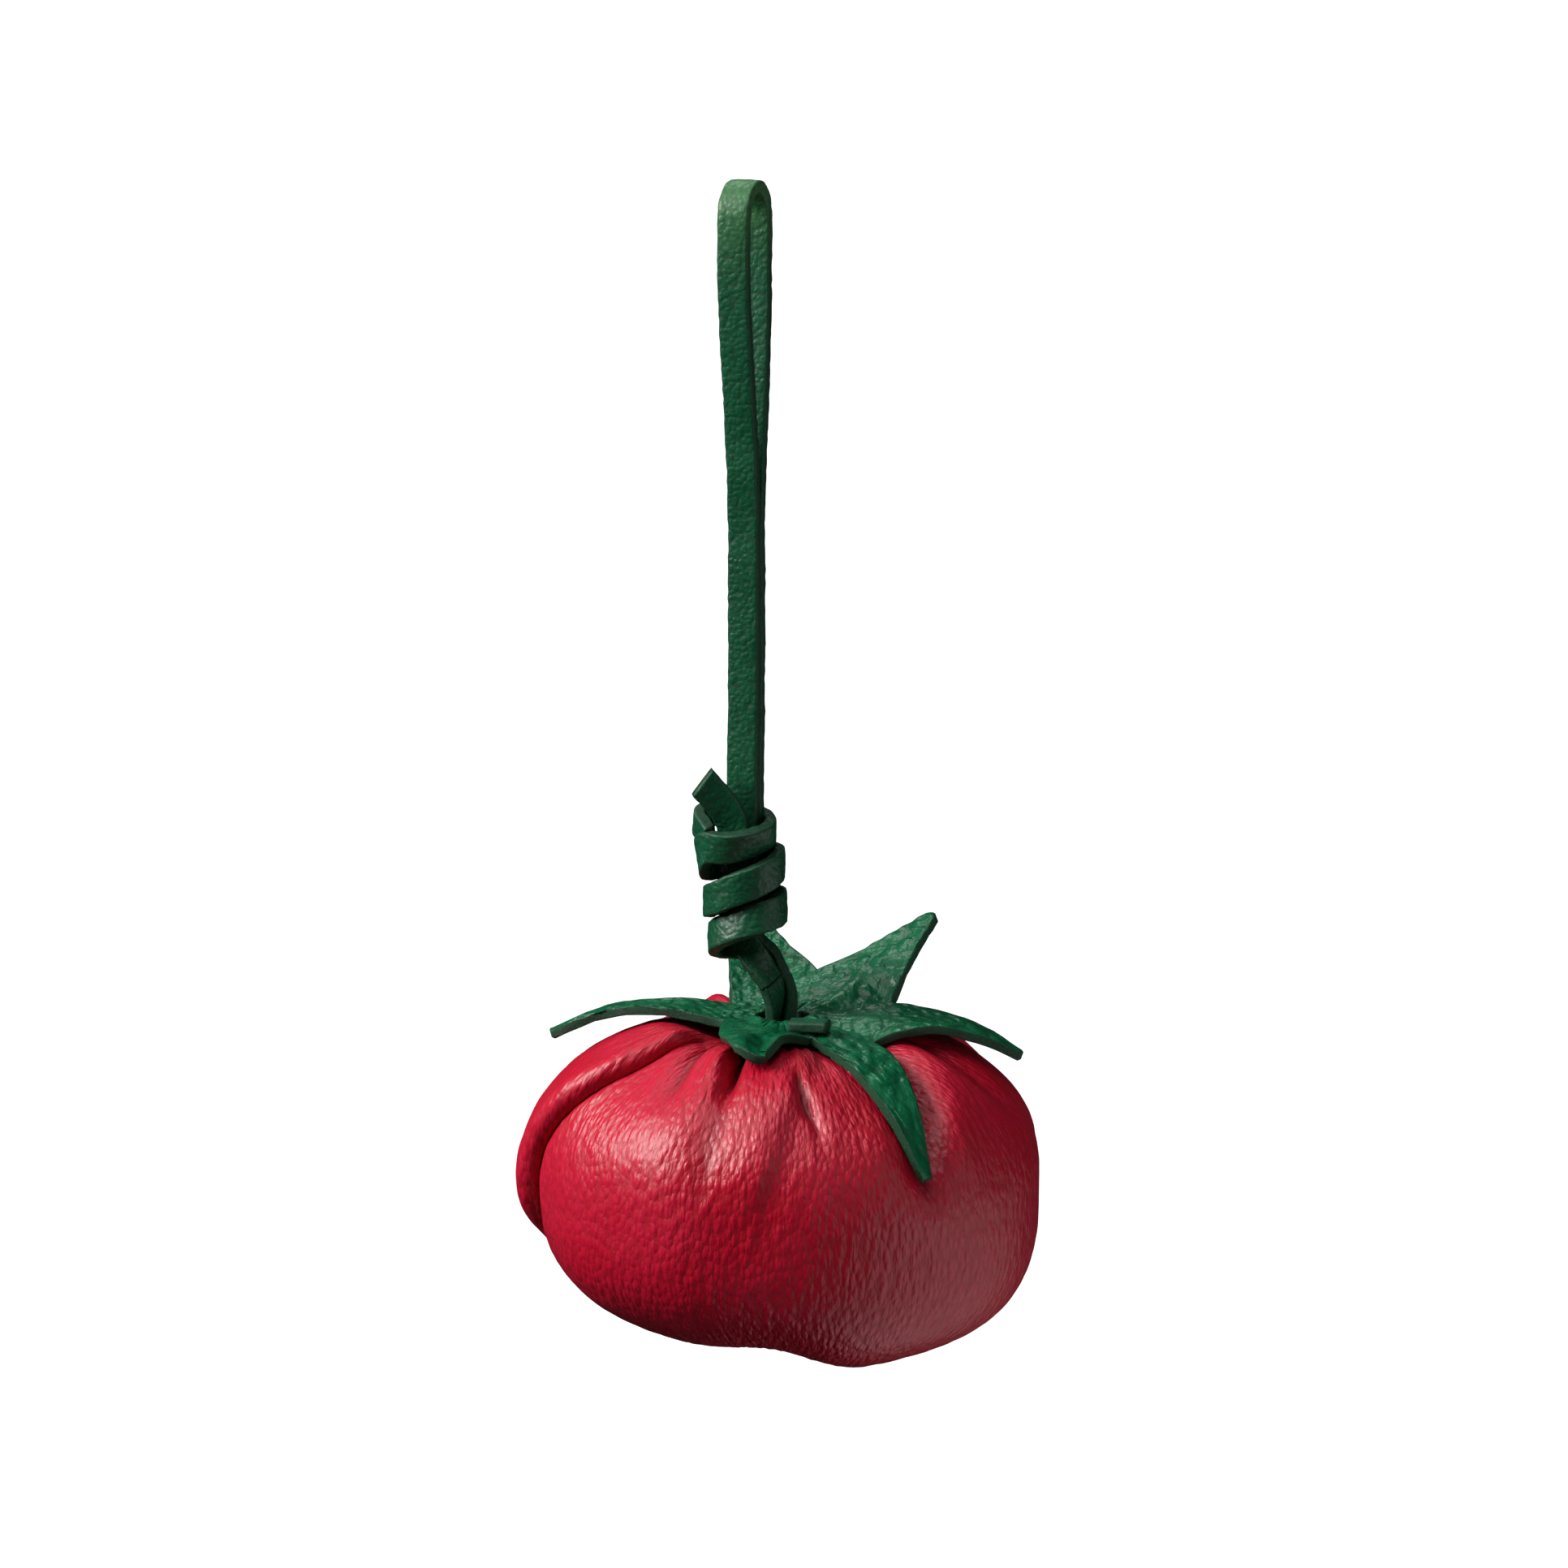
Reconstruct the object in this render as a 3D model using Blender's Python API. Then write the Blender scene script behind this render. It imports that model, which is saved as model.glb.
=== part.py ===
"""Leather tomato pincushion on a hanging strap, as separate pieces.

Metres, +Z up. The origin is the underside of the strap's top fold, where a hook bears.
+X is to the viewer's right and +Y points away from the viewer.
The lace is one long strip in real life. It is cut here where it bends, so that each stretch can move.
"""

import math

import bmesh
import bpy
from mathutils import Vector

# Lace: the flat leather strip of the strap, the keeper knot and the neck.
LACE_WIDTH = 0.0046
LACE_THICKNESS = 0.0017
LACE_YAW = math.radians(20)  # the strap's flat face looks a little to the viewer's left
STRAND_GAP = 0.0002  # between the two strands where they lie face to face

# Strap: a long loop that closes at its top fold.
FOLD_INNER_RADIUS = 0.0034
FOLD_TO_SPREAD = 0.0050  # the loop keeps its full width this far down
STRAP_LENGTH = 0.1082  # from the hook down to where the lace leaves the knot
STRAIGHT_LENGTH = 0.0580  # of the doubled strap above that point, where the keeper slides

# Keeper: a lace wound round both strands.
KEEPER_TURNS = 3.24
KEEPER_PITCH = 0.0060
KEEPER_CLEARANCE = 0.0008
KEEPER_TILT = 0.21  # the turns climb towards +X by this slope
KEEPER_DROP = 0.0034  # how far its lowest edge hangs under the end of the strap
KEEPER_STEPS = 28  # to each turn
TAIL_LENGTH = 0.0072
TAIL_LEAN = math.radians(24)
TAIL_TURNS_BACK = 0.10  # where the tail stands, counted back from the end of the turns

# Neck lace: two strands from the strap's end down to the calyx.
NECK_LACE_LEAN = math.radians(27.4)
NECK_LACE_LENGTH = 0.0117
BEND_GAP = 0.0030  # left open at each bend, so that the square ends can turn
GAP = 0.0003  # between pieces that touch

# Tomato.
TOMATO_WIDTH = 0.0744
TOMATO_DEPTH = 0.0690
TOMATO_HEIGHT = 0.0524
LOBES = 6
LOBE_DEPTH = 0.0008
SKIN_THICKNESS = 0.0012
SHOULDER_RISE = 0.0018
NECK_SINK = 0.0026  # how far the neck's rim sits under the top of the rounded body
SHOULDER_RADIUS = 0.0140
WELL_DEPTH = 0.0058
WELL_SHARE = 0.45  # of the neck's radius, how wide the well round it is
BASE_DIMPLE_DEPTH = 0.0034
BASE_DIMPLE_RADIUS = 0.0080

# Neck of the skin, with the thread wound round it.
NECK_WALL = 0.0013
THREAD_RADIUS = 0.0004
THREAD_TURNS = 3
THREAD_PITCH = 0.00095
GROOVE_FLARE = 0.0008  # how much wider the groove round the neck is at its top

# Calyx: one star of leather with a round hole.
CALYX_THICKNESS = 0.0013
LOWEST_SHOULDER = 0.92  # of the outline's radius
CALYX_CLEARANCE = 0.0010  # between the calyx and the skin's shoulders
HOLE_CLEARANCE = 0.0010
NOTCH_RADIUS = 0.0150
TIP_WIDTH = 0.0016
# Each sepal: direction from +X towards +Y in degrees, reach, and how high its tip is above the hole.
SEPALS = (
    (0, 0.0342, -0.0048),
    (45, 0.0315, 0.0103),
    (104, 0.0320, 0.0108),
    (178, 0.0334, -0.0022),
    (259, 0.0260, -0.0008),
    (306, 0.0325, -0.0150),
)

# Inside the tomato.
STOPPER_SCALE = 0.00130
STOPPER_CORD_RADIUS = 0.00105
POCKET_CLEARANCE = 0.0012
STUFFING_BASE_RADIUS = 0.0030
TUFT_HOLE_CLEARANCE = 0.0005
BASE_KNOT_RADIUS = 0.0016
BASE_KNOT_FLATNESS = 0.8
LACE_END_LENGTH = 0.0065
LACE_END_TURN = math.radians(-14)
LACE_END_BACK = 0.4  # of its length lies left of the hole's centre

RED = (0.42, 0.012, 0.035, 1)
GREEN = (0.012, 0.11, 0.05, 1)
CREAM = (0.80, 0.76, 0.66, 1)
THREAD = (0.30, 0.02, 0.03, 1)

# Worked out from the sizes above.
PAIR_DEPTH = 2 * LACE_THICKNESS + STRAND_GAP
PAIR_RADIUS = math.hypot(LACE_WIDTH, PAIR_DEPTH) / 2
ACROSS = Vector((math.cos(LACE_YAW), -math.sin(LACE_YAW), 0))  # along the lace's width
FACING = Vector((-math.sin(LACE_YAW), -math.cos(LACE_YAW), 0))  # out of the front strand's face
DOWN = Vector((0, 0, -1))
STRAP_END = Vector((0, 0, -STRAP_LENGTH))
TWIST_Z = STRAP_END.z + STRAIGHT_LENGTH
NECK_LACE_RUN = Vector((math.sin(NECK_LACE_LEAN), 0, -math.cos(NECK_LACE_LEAN)))
HUB_BEND = STRAP_END + NECK_LACE_LENGTH * NECK_LACE_RUN
HOLE_RADIUS = PAIR_RADIUS + HOLE_CLEARANCE
HUB_TOP = HUB_BEND.z - BEND_GAP / 2 - GAP / 3  # the calyx's upper face round the hole
HUB_X = HUB_BEND.x
NECK_TOP = HUB_TOP - CALYX_THICKNESS - GAP
NECK_RADIUS = HOLE_RADIUS + NECK_WALL
NECK_HEIGHT = THREAD_TURNS * THREAD_PITCH + 2 * THREAD_RADIUS + 2 * GAP
NECK_FLOOR = NECK_TOP - NECK_HEIGHT  # the floor of the groove round the neck
GROOVE_RADIUS = NECK_RADIUS + 2 * THREAD_RADIUS + 2 * GAP
BODY_CENTRE_Z = NECK_TOP + NECK_SINK - TOMATO_HEIGHT / 2


def clear_scene():
    for old in list(bpy.data.objects):
        bpy.data.objects.remove(old)


def material(name, colour, roughness):
    made = bpy.data.materials.new(name)
    made.use_nodes = True
    shader = made.node_tree.nodes["Principled BSDF"]
    shader.inputs["Base Color"].default_value = colour
    shader.inputs["Roughness"].default_value = roughness
    shader.inputs["Metallic"].default_value = 0
    return made


def add_object(name, data, finish):
    made = bpy.data.objects.new(name, data)
    data.materials.append(finish)
    bpy.context.scene.collection.objects.link(made)
    return made


def mesh_from(build, name):
    """A mesh filled by build(bm), its faces turned out and shaded smooth."""
    bm = bmesh.new()
    build(bm)
    bmesh.ops.recalc_face_normals(bm, faces=bm.faces)
    mesh = bpy.data.meshes.new(name)
    bm.to_mesh(mesh)
    bm.free()
    mesh.shade_smooth()
    mesh.set_sharp_from_angle(angle=math.radians(40))
    return mesh


def join_rows(bm, rows, round_way=True, ends_meet=False):
    """Faces between rows of points: each row closes on itself if round_way, and the last joins the first if ends_meet."""
    made = [[bm.verts.new(point) for point in row] for row in rows]
    pairs = list(zip(made, made[1:]))
    if ends_meet:
        pairs.append((made[-1], made[0]))
    for lower, upper in pairs:
        count = len(lower)
        for i in range(count if round_way else count - 1):
            j = (i + 1) % count
            bm.faces.new((lower[i], lower[j], upper[j], upper[i]))
    return made


def ribbon(name, stations, finish):
    """A lace along stations, each (centre, direction of the width, direction out of the face)."""
    half_width, half_thick = LACE_WIDTH / 2, LACE_THICKNESS / 2
    corners = ((-1, -1), (1, -1), (1, 1), (-1, 1))

    def build(bm):
        rows = [
            [centre + across * (half_width * a) + facing * (half_thick * f) for a, f in corners]
            for centre, across, facing in stations
        ]
        made = join_rows(bm, rows)
        bm.faces.new(made[0])
        bm.faces.new(reversed(made[-1]))

    return add_object(name, mesh_from(build, name), finish)


def smooth_step(t):
    t = min(1.0, max(0.0, t))
    return t * t * (3 - 2 * t)


def loop_stations():
    """Up the front strand, over the fold and down the back strand, to where the strap is cut to twist."""
    half_pair = (LACE_THICKNESS + STRAND_GAP) / 2
    fold_radius = FOLD_INNER_RADIUS + LACE_THICKNESS / 2
    fold_z = -FOLD_INNER_RADIUS
    full_width_z = fold_z - FOLD_TO_SPREAD
    side = []
    spread_steps = 14
    for i in range(spread_steps + 1):
        t = i / spread_steps
        z = TWIST_Z + GAP / 2 + (full_width_z - TWIST_Z) * t
        side.append((half_pair + (fold_radius - half_pair) * smooth_step(t), z))
    fold_steps = 16
    arc = [
        (fold_radius * math.cos(math.pi * i / fold_steps), fold_z + fold_radius * math.sin(math.pi * i / fold_steps))
        for i in range(fold_steps + 1)
    ]
    line = side + arc + [(-out, z) for out, z in reversed(side)]
    stations = []
    for i, (out, z) in enumerate(line):
        before, after = line[max(i - 1, 0)], line[min(i + 1, len(line) - 1)]
        along = FACING * (after[0] - before[0]) + Vector((0, 0, after[1] - before[1]))
        facing = ACROSS.cross(along).normalized()
        stations.append((FACING * out + Vector((0, 0, z)), ACROSS, facing))
    return stations


def lower_strap(finish):
    """The two strands that lie face to face and that the keeper slides on."""
    for strand in ("front", "back"):
        shift = strand_offset(FACING, strand == "front")
        ends = [
            (Vector((0, 0, z)) + shift, ACROSS, FACING)
            for z in (STRAP_END.z + BEND_GAP / 2, TWIST_Z - GAP / 2)
        ]
        ribbon(f"strap_lower_{strand}", ends, finish)


def keeper_middle():
    """Centre of the keeper's turns, which hang against the strap a little to the front left."""
    return Vector((-KEEPER_CLEARANCE / 2, -KEEPER_CLEARANCE / 3, 0))


def keeper_point(turn):
    """Centre of the keeper's lace after so many turns, from its lowest point on the left."""
    radius = PAIR_RADIUS + KEEPER_CLEARANCE + LACE_THICKNESS / 2
    angle = math.pi + 2 * math.pi * turn
    x, y = radius * math.cos(angle), radius * math.sin(angle)
    lowest = STRAP_END.z - KEEPER_DROP + LACE_WIDTH / 2
    return keeper_middle() + Vector((x, y, lowest + KEEPER_PITCH * turn + (x + radius) * KEEPER_TILT))


def keeper_frame(turn):
    """Directions at that turn: along the lace, out of its face and across its width."""
    nudge = 0.001
    along = (keeper_point(turn + nudge) - keeper_point(turn - nudge)).normalized()
    outward = along.cross(Vector((0, 0, 1))).normalized()
    return along, outward, outward.cross(along).normalized()


def keeper_stations():
    steps = round(KEEPER_TURNS * KEEPER_STEPS)
    stations = []
    for i in range(steps + 1):
        turn = KEEPER_TURNS * i / steps
        _, outward, up = keeper_frame(turn)
        stations.append((keeper_point(turn), up, outward))
    return stations


def tail_stations():
    """The keeper's cut end, standing on its top turn at the front left."""
    turn = KEEPER_TURNS - TAIL_TURNS_BACK
    along, outward, up = keeper_frame(turn)
    root = keeper_point(turn) + up * (LACE_WIDTH / 2 + GAP)
    lean = (up - along * math.tan(TAIL_LEAN)).normalized()
    across = outward.cross(lean).normalized()
    return [(root, -along, outward)] + [(root + lean * (TAIL_LENGTH * i / 3), across, outward) for i in (1, 2, 3)]


def neck_lace_frame(run):
    across = (ACROSS - run * ACROSS.dot(run)).normalized()
    return across, run.cross(across).normalized()


def strand_offset(facing, front):
    return facing * ((LACE_THICKNESS + STRAND_GAP) / 2 * (1 if front else -1))


def neck_lace(finish):
    """Two strands from the strap's end to the calyx, cut at the middle where they twist."""
    across, facing = neck_lace_frame(NECK_LACE_RUN)
    if facing.dot(FACING) < 0:
        across, facing = -across, -facing
    middle = NECK_LACE_LENGTH / 2
    spans = {
        "upper": (BEND_GAP / 2, middle - GAP / 2),
        "lower": (middle + GAP / 2, NECK_LACE_LENGTH - BEND_GAP / 2),
    }
    for part, (start, end) in spans.items():
        for strand in ("front", "back"):
            shift = strand_offset(facing, strand == "front")
            ends = [(STRAP_END + NECK_LACE_RUN * at + shift, across, facing) for at in (start, end)]
            ribbon(f"neck_lace_{part}_{strand}", ends, finish)


def stopper_centre():
    reach = 3 * STOPPER_SCALE + STOPPER_CORD_RADIUS
    return Vector((HUB_X, 0, NECK_FLOOR - SKIN_THICKNESS - 2 * GAP - reach)), reach


def inner_lace(finish):
    """Both strands from the bend above the hole down to the stopper knot."""
    centre, _ = stopper_centre()
    knot_top = centre.z + STOPPER_SCALE + STOPPER_CORD_RADIUS
    for strand in ("front", "back"):
        shift = strand_offset(FACING, strand == "front")
        ends = [
            (Vector((HUB_X, 0, z)) + shift, ACROSS, FACING)
            for z in (HUB_BEND.z - BEND_GAP / 2, knot_top + GAP)
        ]
        ribbon(f"inner_lace_{strand}", ends, finish)


def lace_end(finish):
    """The lace's cut end, lying flat on the calyx in front of the hole."""
    run = Vector((math.cos(LACE_END_TURN), math.sin(LACE_END_TURN), 0))
    across = Vector((-run.y, run.x, 0))
    start = Vector((-LACE_END_LENGTH * LACE_END_BACK, -HOLE_RADIUS - LACE_WIDTH / 2 - 2 * GAP, 0))
    front_lift = max(lift for angle, _, lift in star_corners() if math.sin(angle) < -0.8)
    shares = [i / 8 for i in range(9)]
    below = max(
        calyx_underside(start + run * (LACE_END_LENGTH * at) + across * (LACE_WIDTH * (side - 0.5)), front_lift)
        for at in shares
        for side in shares
    )
    start += Vector((HUB_X, 0, below + CALYX_THICKNESS + GAP + LACE_THICKNESS / 2))
    ends = [(start + run * at, across, Vector((0, 0, 1))) for at in (0, LACE_END_LENGTH)]
    ribbon("lace_cut_end", ends, finish)


def tube(name, points, radius, finish, sides=2, cyclic=False):
    """A cord of round section through the points."""
    curve = bpy.data.curves.new(name, "CURVE")
    curve.dimensions = "3D"
    curve.bevel_depth = radius
    curve.bevel_resolution = sides
    curve.use_fill_caps = not cyclic
    spline = curve.splines.new("POLY")
    spline.points.add(len(points) - 1)
    for spline_point, point in zip(spline.points, points):
        spline_point.co = (*point, 1)
    spline.use_cyclic_u = cyclic
    return add_object(name, curve, finish)


def stopper_knot(finish):
    """The knot that keeps the lace's ends inside, drawn as a trefoil."""
    centre, _ = stopper_centre()
    steps = 60
    points = []
    for i in range(steps):
        t = 2 * math.pi * i / steps
        loop = Vector((math.sin(t) + 2 * math.sin(2 * t), math.cos(t) - 2 * math.cos(2 * t), -math.sin(3 * t)))
        points.append(centre + loop * STOPPER_SCALE)
    tube("stopper_knot", points, STOPPER_CORD_RADIUS, finish, sides=2, cyclic=True)


def outline_radius(theta, inset=0.0):
    """The tomato's equator: an ellipse with shallow lobes."""
    half_x, half_y = TOMATO_WIDTH / 2 - inset, TOMATO_DEPTH / 2 - inset
    plain = half_x * half_y / math.hypot(half_y * math.cos(theta), half_x * math.sin(theta))
    lobe = 0 if inset else LOBE_DEPTH * (math.cos(LOBES * theta) - 1) / 2
    return plain + lobe


def bell(value, middle, width):
    return math.exp(-(((value - middle) / width) ** 2))


def body_point(latitude, theta, inset=0.0):
    """A point of the tomato's surface, or of one inset inside it, about the hub's axis."""
    radius = outline_radius(theta, inset) * math.cos(latitude)
    z = BODY_CENTRE_Z + (TOMATO_HEIGHT / 2 - inset) * math.sin(latitude)
    if latitude > 0:
        z += SHOULDER_RISE * bell(radius, SHOULDER_RADIUS, SHOULDER_RADIUS / 2)
        z -= WELL_DEPTH * bell(radius, NECK_RADIUS, NECK_RADIUS * WELL_SHARE)
    else:
        z += BASE_DIMPLE_DEPTH * bell(radius, 0, BASE_DIMPLE_RADIUS)
    return Vector((HUB_X + radius * math.cos(theta), radius * math.sin(theta), z))


def body_top(radius, theta):
    """Height of the skin's upper face at that distance from the hub, and no lower than far down its shoulder."""
    share = min(LOWEST_SHOULDER, radius / outline_radius(theta))
    return body_point(math.acos(share), theta).z


def ring(radius, z, count):
    angles = [2 * math.pi * i / count for i in range(count)]
    return [Vector((HUB_X + radius * math.cos(a), radius * math.sin(a), z)) for a in angles]


def body_rows(top_radius, base_radius, count, steps, inset=0.0):
    """Rows round the tomato from its shoulder to its base, closer together near both ends."""
    high = math.acos(top_radius / (TOMATO_DEPTH / 2))
    low = -math.acos(base_radius / (TOMATO_DEPTH / 2))
    rows = []
    for i in range(steps + 1):
        latitude = high + (low - high) * (i / steps)
        rows.append([body_point(latitude, 2 * math.pi * k / count, inset) for k in range(count)])
    return rows


def tomato_skin(finish):
    """A leather pouch: a short gathered neck, the lobed body and a small hole at the base."""
    count = 48
    base_hole = THREAD_RADIUS + TUFT_HOLE_CLEARANCE

    def build(bm):
        rows = [ring(NECK_RADIUS, NECK_TOP, count), ring(NECK_RADIUS, NECK_FLOOR, count)]
        rows.append(ring(GROOVE_RADIUS, NECK_FLOOR, count))
        rows += body_rows(GROOVE_RADIUS + GROOVE_FLARE, base_hole + SKIN_THICKNESS, count, 22)
        join_rows(bm, rows)

    mesh = mesh_from(build, "tomato_skin")
    if mesh.polygons[0].normal.dot(mesh.polygons[0].center - Vector((HUB_X, 0, BODY_CENTRE_Z))) < 0:
        mesh.flip_normals()
    skin = add_object("tomato_skin", mesh, finish)
    wall = skin.modifiers.new("wall", "SOLIDIFY")
    wall.thickness = SKIN_THICKNESS
    wall.offset = -1
    return skin


def fibre_stuffing(finish):
    """The fill, with a pocket for the stopper knot and a hole for the tuft thread."""
    count = 32
    centre, reach = stopper_centre()
    inset = SKIN_THICKNESS + LOBE_DEPTH + 2 * GAP
    pocket = reach + POCKET_CLEARANCE
    floor = centre.z - reach - GAP
    hole = THREAD_RADIUS + TUFT_HOLE_CLEARANCE
    under_neck = NECK_FLOOR - SKIN_THICKNESS - 2 * GAP
    round_groove = GROOVE_RADIUS + GROOVE_FLARE + SKIN_THICKNESS + 2 * GAP

    def build(bm):
        rows = [ring(hole, floor, count), ring(pocket, floor, count)]
        rows += [ring(pocket, under_neck, count), ring(round_groove, under_neck, count)]
        rows += body_rows(round_groove + 2 * GAP, STUFFING_BASE_RADIUS, count, 14, inset)
        base = body_point(-math.pi / 2, 0, inset).z + SKIN_THICKNESS / 2
        rows.append(ring(hole, base, count))
        join_rows(bm, rows, ends_meet=True)

    return add_object("fibre_stuffing", mesh_from(build, "fibre_stuffing"), finish)


def gather_thread(finish):
    """Waxed thread wound round the gathered neck."""
    radius = NECK_RADIUS + THREAD_RADIUS + GAP
    top = NECK_TOP - THREAD_RADIUS - GAP
    steps = THREAD_TURNS * 24
    points = []
    for i in range(steps + 1):
        angle = 2 * math.pi * THREAD_TURNS * i / steps
        z = top - THREAD_PITCH * THREAD_TURNS * i / steps
        points.append(Vector((HUB_X + radius * math.cos(angle), radius * math.sin(angle), z)))
    tube("gather_thread", points, THREAD_RADIUS, finish, sides=1)


def tuft(finish):
    """The thread that pulls the base up, and the knot that it ends in."""
    centre, reach = stopper_centre()
    base = BODY_CENTRE_Z - TOMATO_HEIGHT / 2 + BASE_DIMPLE_DEPTH
    knot_z = base - BASE_KNOT_RADIUS - GAP
    low, high = knot_z + BASE_KNOT_RADIUS + GAP / 2, centre.z - STOPPER_SCALE - STOPPER_CORD_RADIUS - GAP
    points = [Vector((HUB_X, 0, low + (high - low) * i / 6)) for i in range(7)]
    tube("tuft_thread", points, THREAD_RADIUS, finish, sides=1)

    def build(bm):
        bmesh.ops.create_uvsphere(bm, u_segments=16, v_segments=10, radius=BASE_KNOT_RADIUS)
        bmesh.ops.scale(bm, vec=(1, 1, BASE_KNOT_FLATNESS), verts=bm.verts)
        bmesh.ops.translate(bm, vec=(HUB_X, 0, knot_z), verts=bm.verts)

    add_object("base_thread_knot", mesh_from(build, "base_thread_knot"), finish)


def star_corners():
    """Tips and notches of the calyx in order: (angle, radius, how hard it lifts off the skin)."""

    def lift(degrees, reach, tip_height):
        angle = math.radians(degrees)
        over_skin = calyx_underside(Vector((reach * math.cos(angle), reach * math.sin(angle))), 0)
        return (HUB_TOP + tip_height - CALYX_THICKNESS - over_skin) / lift_share(reach)

    found = []
    for i, sepal in enumerate(SEPALS):
        following = SEPALS[(i + 1) % len(SEPALS)]
        degrees, reach = sepal[:2]
        gap = (following[0] - degrees) % 360
        found.append((math.radians(degrees), reach, lift(*sepal)))
        found.append((math.radians(degrees + gap / 2), NOTCH_RADIUS, (lift(*sepal) + lift(*following)) / 2))
    return found


def star_edge():
    """Points along the star's outline, with the tips cut square, and the lift that each aims for."""
    corners = star_corners()
    steps = 7
    points = []
    for i, (angle, radius, lift) in enumerate(corners):
        next_angle, next_radius, next_lift = corners[(i + 1) % len(corners)]
        here = Vector((radius * math.cos(angle), radius * math.sin(angle)))
        there = Vector((next_radius * math.cos(next_angle), next_radius * math.sin(next_angle)))
        tip, side = (here, 1) if radius > next_radius else (there, -1)
        sideways = Vector((-tip.y, tip.x)).normalized() * (side * TIP_WIDTH / 2)
        if side > 0:
            here = here + sideways
        else:
            there = there + sideways
        first = 0 if side > 0 else 1
        for k in range(first, steps + 1):
            t = k / steps
            points.append((here.lerp(there, t), lift + (next_lift - lift) * t))
    return points


def lift_share(radius):
    """A sepal leaves the skin slowly, then faster towards its tip."""
    return (max(0.0, radius - NECK_RADIUS) / NOTCH_RADIUS) ** 1.6


def calyx_underside(flat, lift):
    """Height of the calyx's underside, from a point flat out from the hub and the lift of the sepal there."""
    radius = math.hypot(flat.x, flat.y)
    level = HUB_TOP - CALYX_THICKNESS
    over_skin = body_top(radius, math.atan2(flat.y, flat.x)) + CALYX_CLEARANCE
    ease = smooth_step((radius - NECK_RADIUS) / (SHOULDER_RADIUS - NECK_RADIUS))
    rest = level + (over_skin - level) * ease
    if radius > NECK_RADIUS:
        rest = max(rest, over_skin)
    return rest + max(0.0, lift) * lift_share(radius)


def calyx(finish):
    """One star of leather: level round the hole, then over the shoulders to its tips."""
    edge = star_edge()
    rows_count = 12

    def build(bm):
        rows = []
        for i in range(rows_count + 1):
            t = i / rows_count
            row = []
            for outer, lift in edge:
                inner = outer.normalized() * HOLE_RADIUS
                flat = inner.lerp(outer, t)
                row.append(Vector((HUB_X + flat.x, flat.y, calyx_underside(flat, lift))))
            rows.append(row)
        join_rows(bm, rows)

    mesh = mesh_from(build, "calyx")
    if mesh.polygons[0].normal.z < 0:
        mesh.flip_normals()
    star = add_object("calyx", mesh, finish)
    wall = star.modifiers.new("wall", "SOLIDIFY")
    wall.thickness = CALYX_THICKNESS
    wall.offset = 1


def main():
    clear_scene()
    red_leather = material("red_leather", RED, 0.42)
    green_leather = material("green_leather", GREEN, 0.5)
    fibre = material("stuffing_fibre", CREAM, 0.95)
    waxed_thread = material("waxed_thread", THREAD, 0.6)

    ribbon("strap_loop", loop_stations(), green_leather)
    lower_strap(green_leather)
    ribbon("keeper_wraps", keeper_stations(), green_leather)
    ribbon("keeper_tail", tail_stations(), green_leather)
    neck_lace(green_leather)
    inner_lace(green_leather)
    stopper_knot(green_leather)
    lace_end(green_leather)
    tomato_skin(red_leather)
    fibre_stuffing(fibre)
    gather_thread(waxed_thread)
    tuft(waxed_thread)
    calyx(green_leather)


main()
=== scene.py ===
import math

import bpy
import numpy as np
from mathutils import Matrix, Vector
from mathutils.bvhtree import BVHTree


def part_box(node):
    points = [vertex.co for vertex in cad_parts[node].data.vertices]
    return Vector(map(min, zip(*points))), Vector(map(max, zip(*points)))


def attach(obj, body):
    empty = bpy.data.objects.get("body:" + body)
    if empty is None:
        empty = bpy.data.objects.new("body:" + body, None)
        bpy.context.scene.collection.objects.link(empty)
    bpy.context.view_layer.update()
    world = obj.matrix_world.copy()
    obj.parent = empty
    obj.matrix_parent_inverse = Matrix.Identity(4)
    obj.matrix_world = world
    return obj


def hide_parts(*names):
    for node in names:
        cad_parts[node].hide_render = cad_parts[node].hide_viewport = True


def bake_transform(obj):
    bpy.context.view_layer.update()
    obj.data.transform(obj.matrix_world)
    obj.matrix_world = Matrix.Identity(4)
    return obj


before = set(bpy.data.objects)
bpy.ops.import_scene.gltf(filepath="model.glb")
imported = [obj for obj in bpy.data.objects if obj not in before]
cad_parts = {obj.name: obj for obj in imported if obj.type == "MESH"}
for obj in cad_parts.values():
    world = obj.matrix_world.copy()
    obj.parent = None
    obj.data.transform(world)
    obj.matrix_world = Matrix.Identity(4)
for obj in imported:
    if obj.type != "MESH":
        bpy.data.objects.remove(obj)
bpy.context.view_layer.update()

# Places shared by several pieces. They repeat the frame's own.
place = {
    "strapEnd": (0.0, 0.0, -0.1082),
    "twistZ": -0.0502,
    "hubX": 0.005384,
    "calyxTop": -0.1202,
    "neckTop": -0.1218,
    "neckFloor": -0.12605,
    "strapYaw": 20,
}
hubX = place["hubX"]
yaw = math.radians(place["strapYaw"])
laceAcross = np.array((math.cos(yaw), -math.sin(yaw), 0.0))
laceFacing = np.array((-math.sin(yaw), -math.cos(yaw), 0.0))
strapEnd = np.array(place["strapEnd"])


def clearSelection():
    for chosen in list(bpy.context.selected_objects):
        chosen.select_set(False)


viewer = {"sensor": 36, "distance": 0.75, "height": 11.0, "lens": 119.0, "aim": (0.0055, 0.0, -0.0854)}


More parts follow.
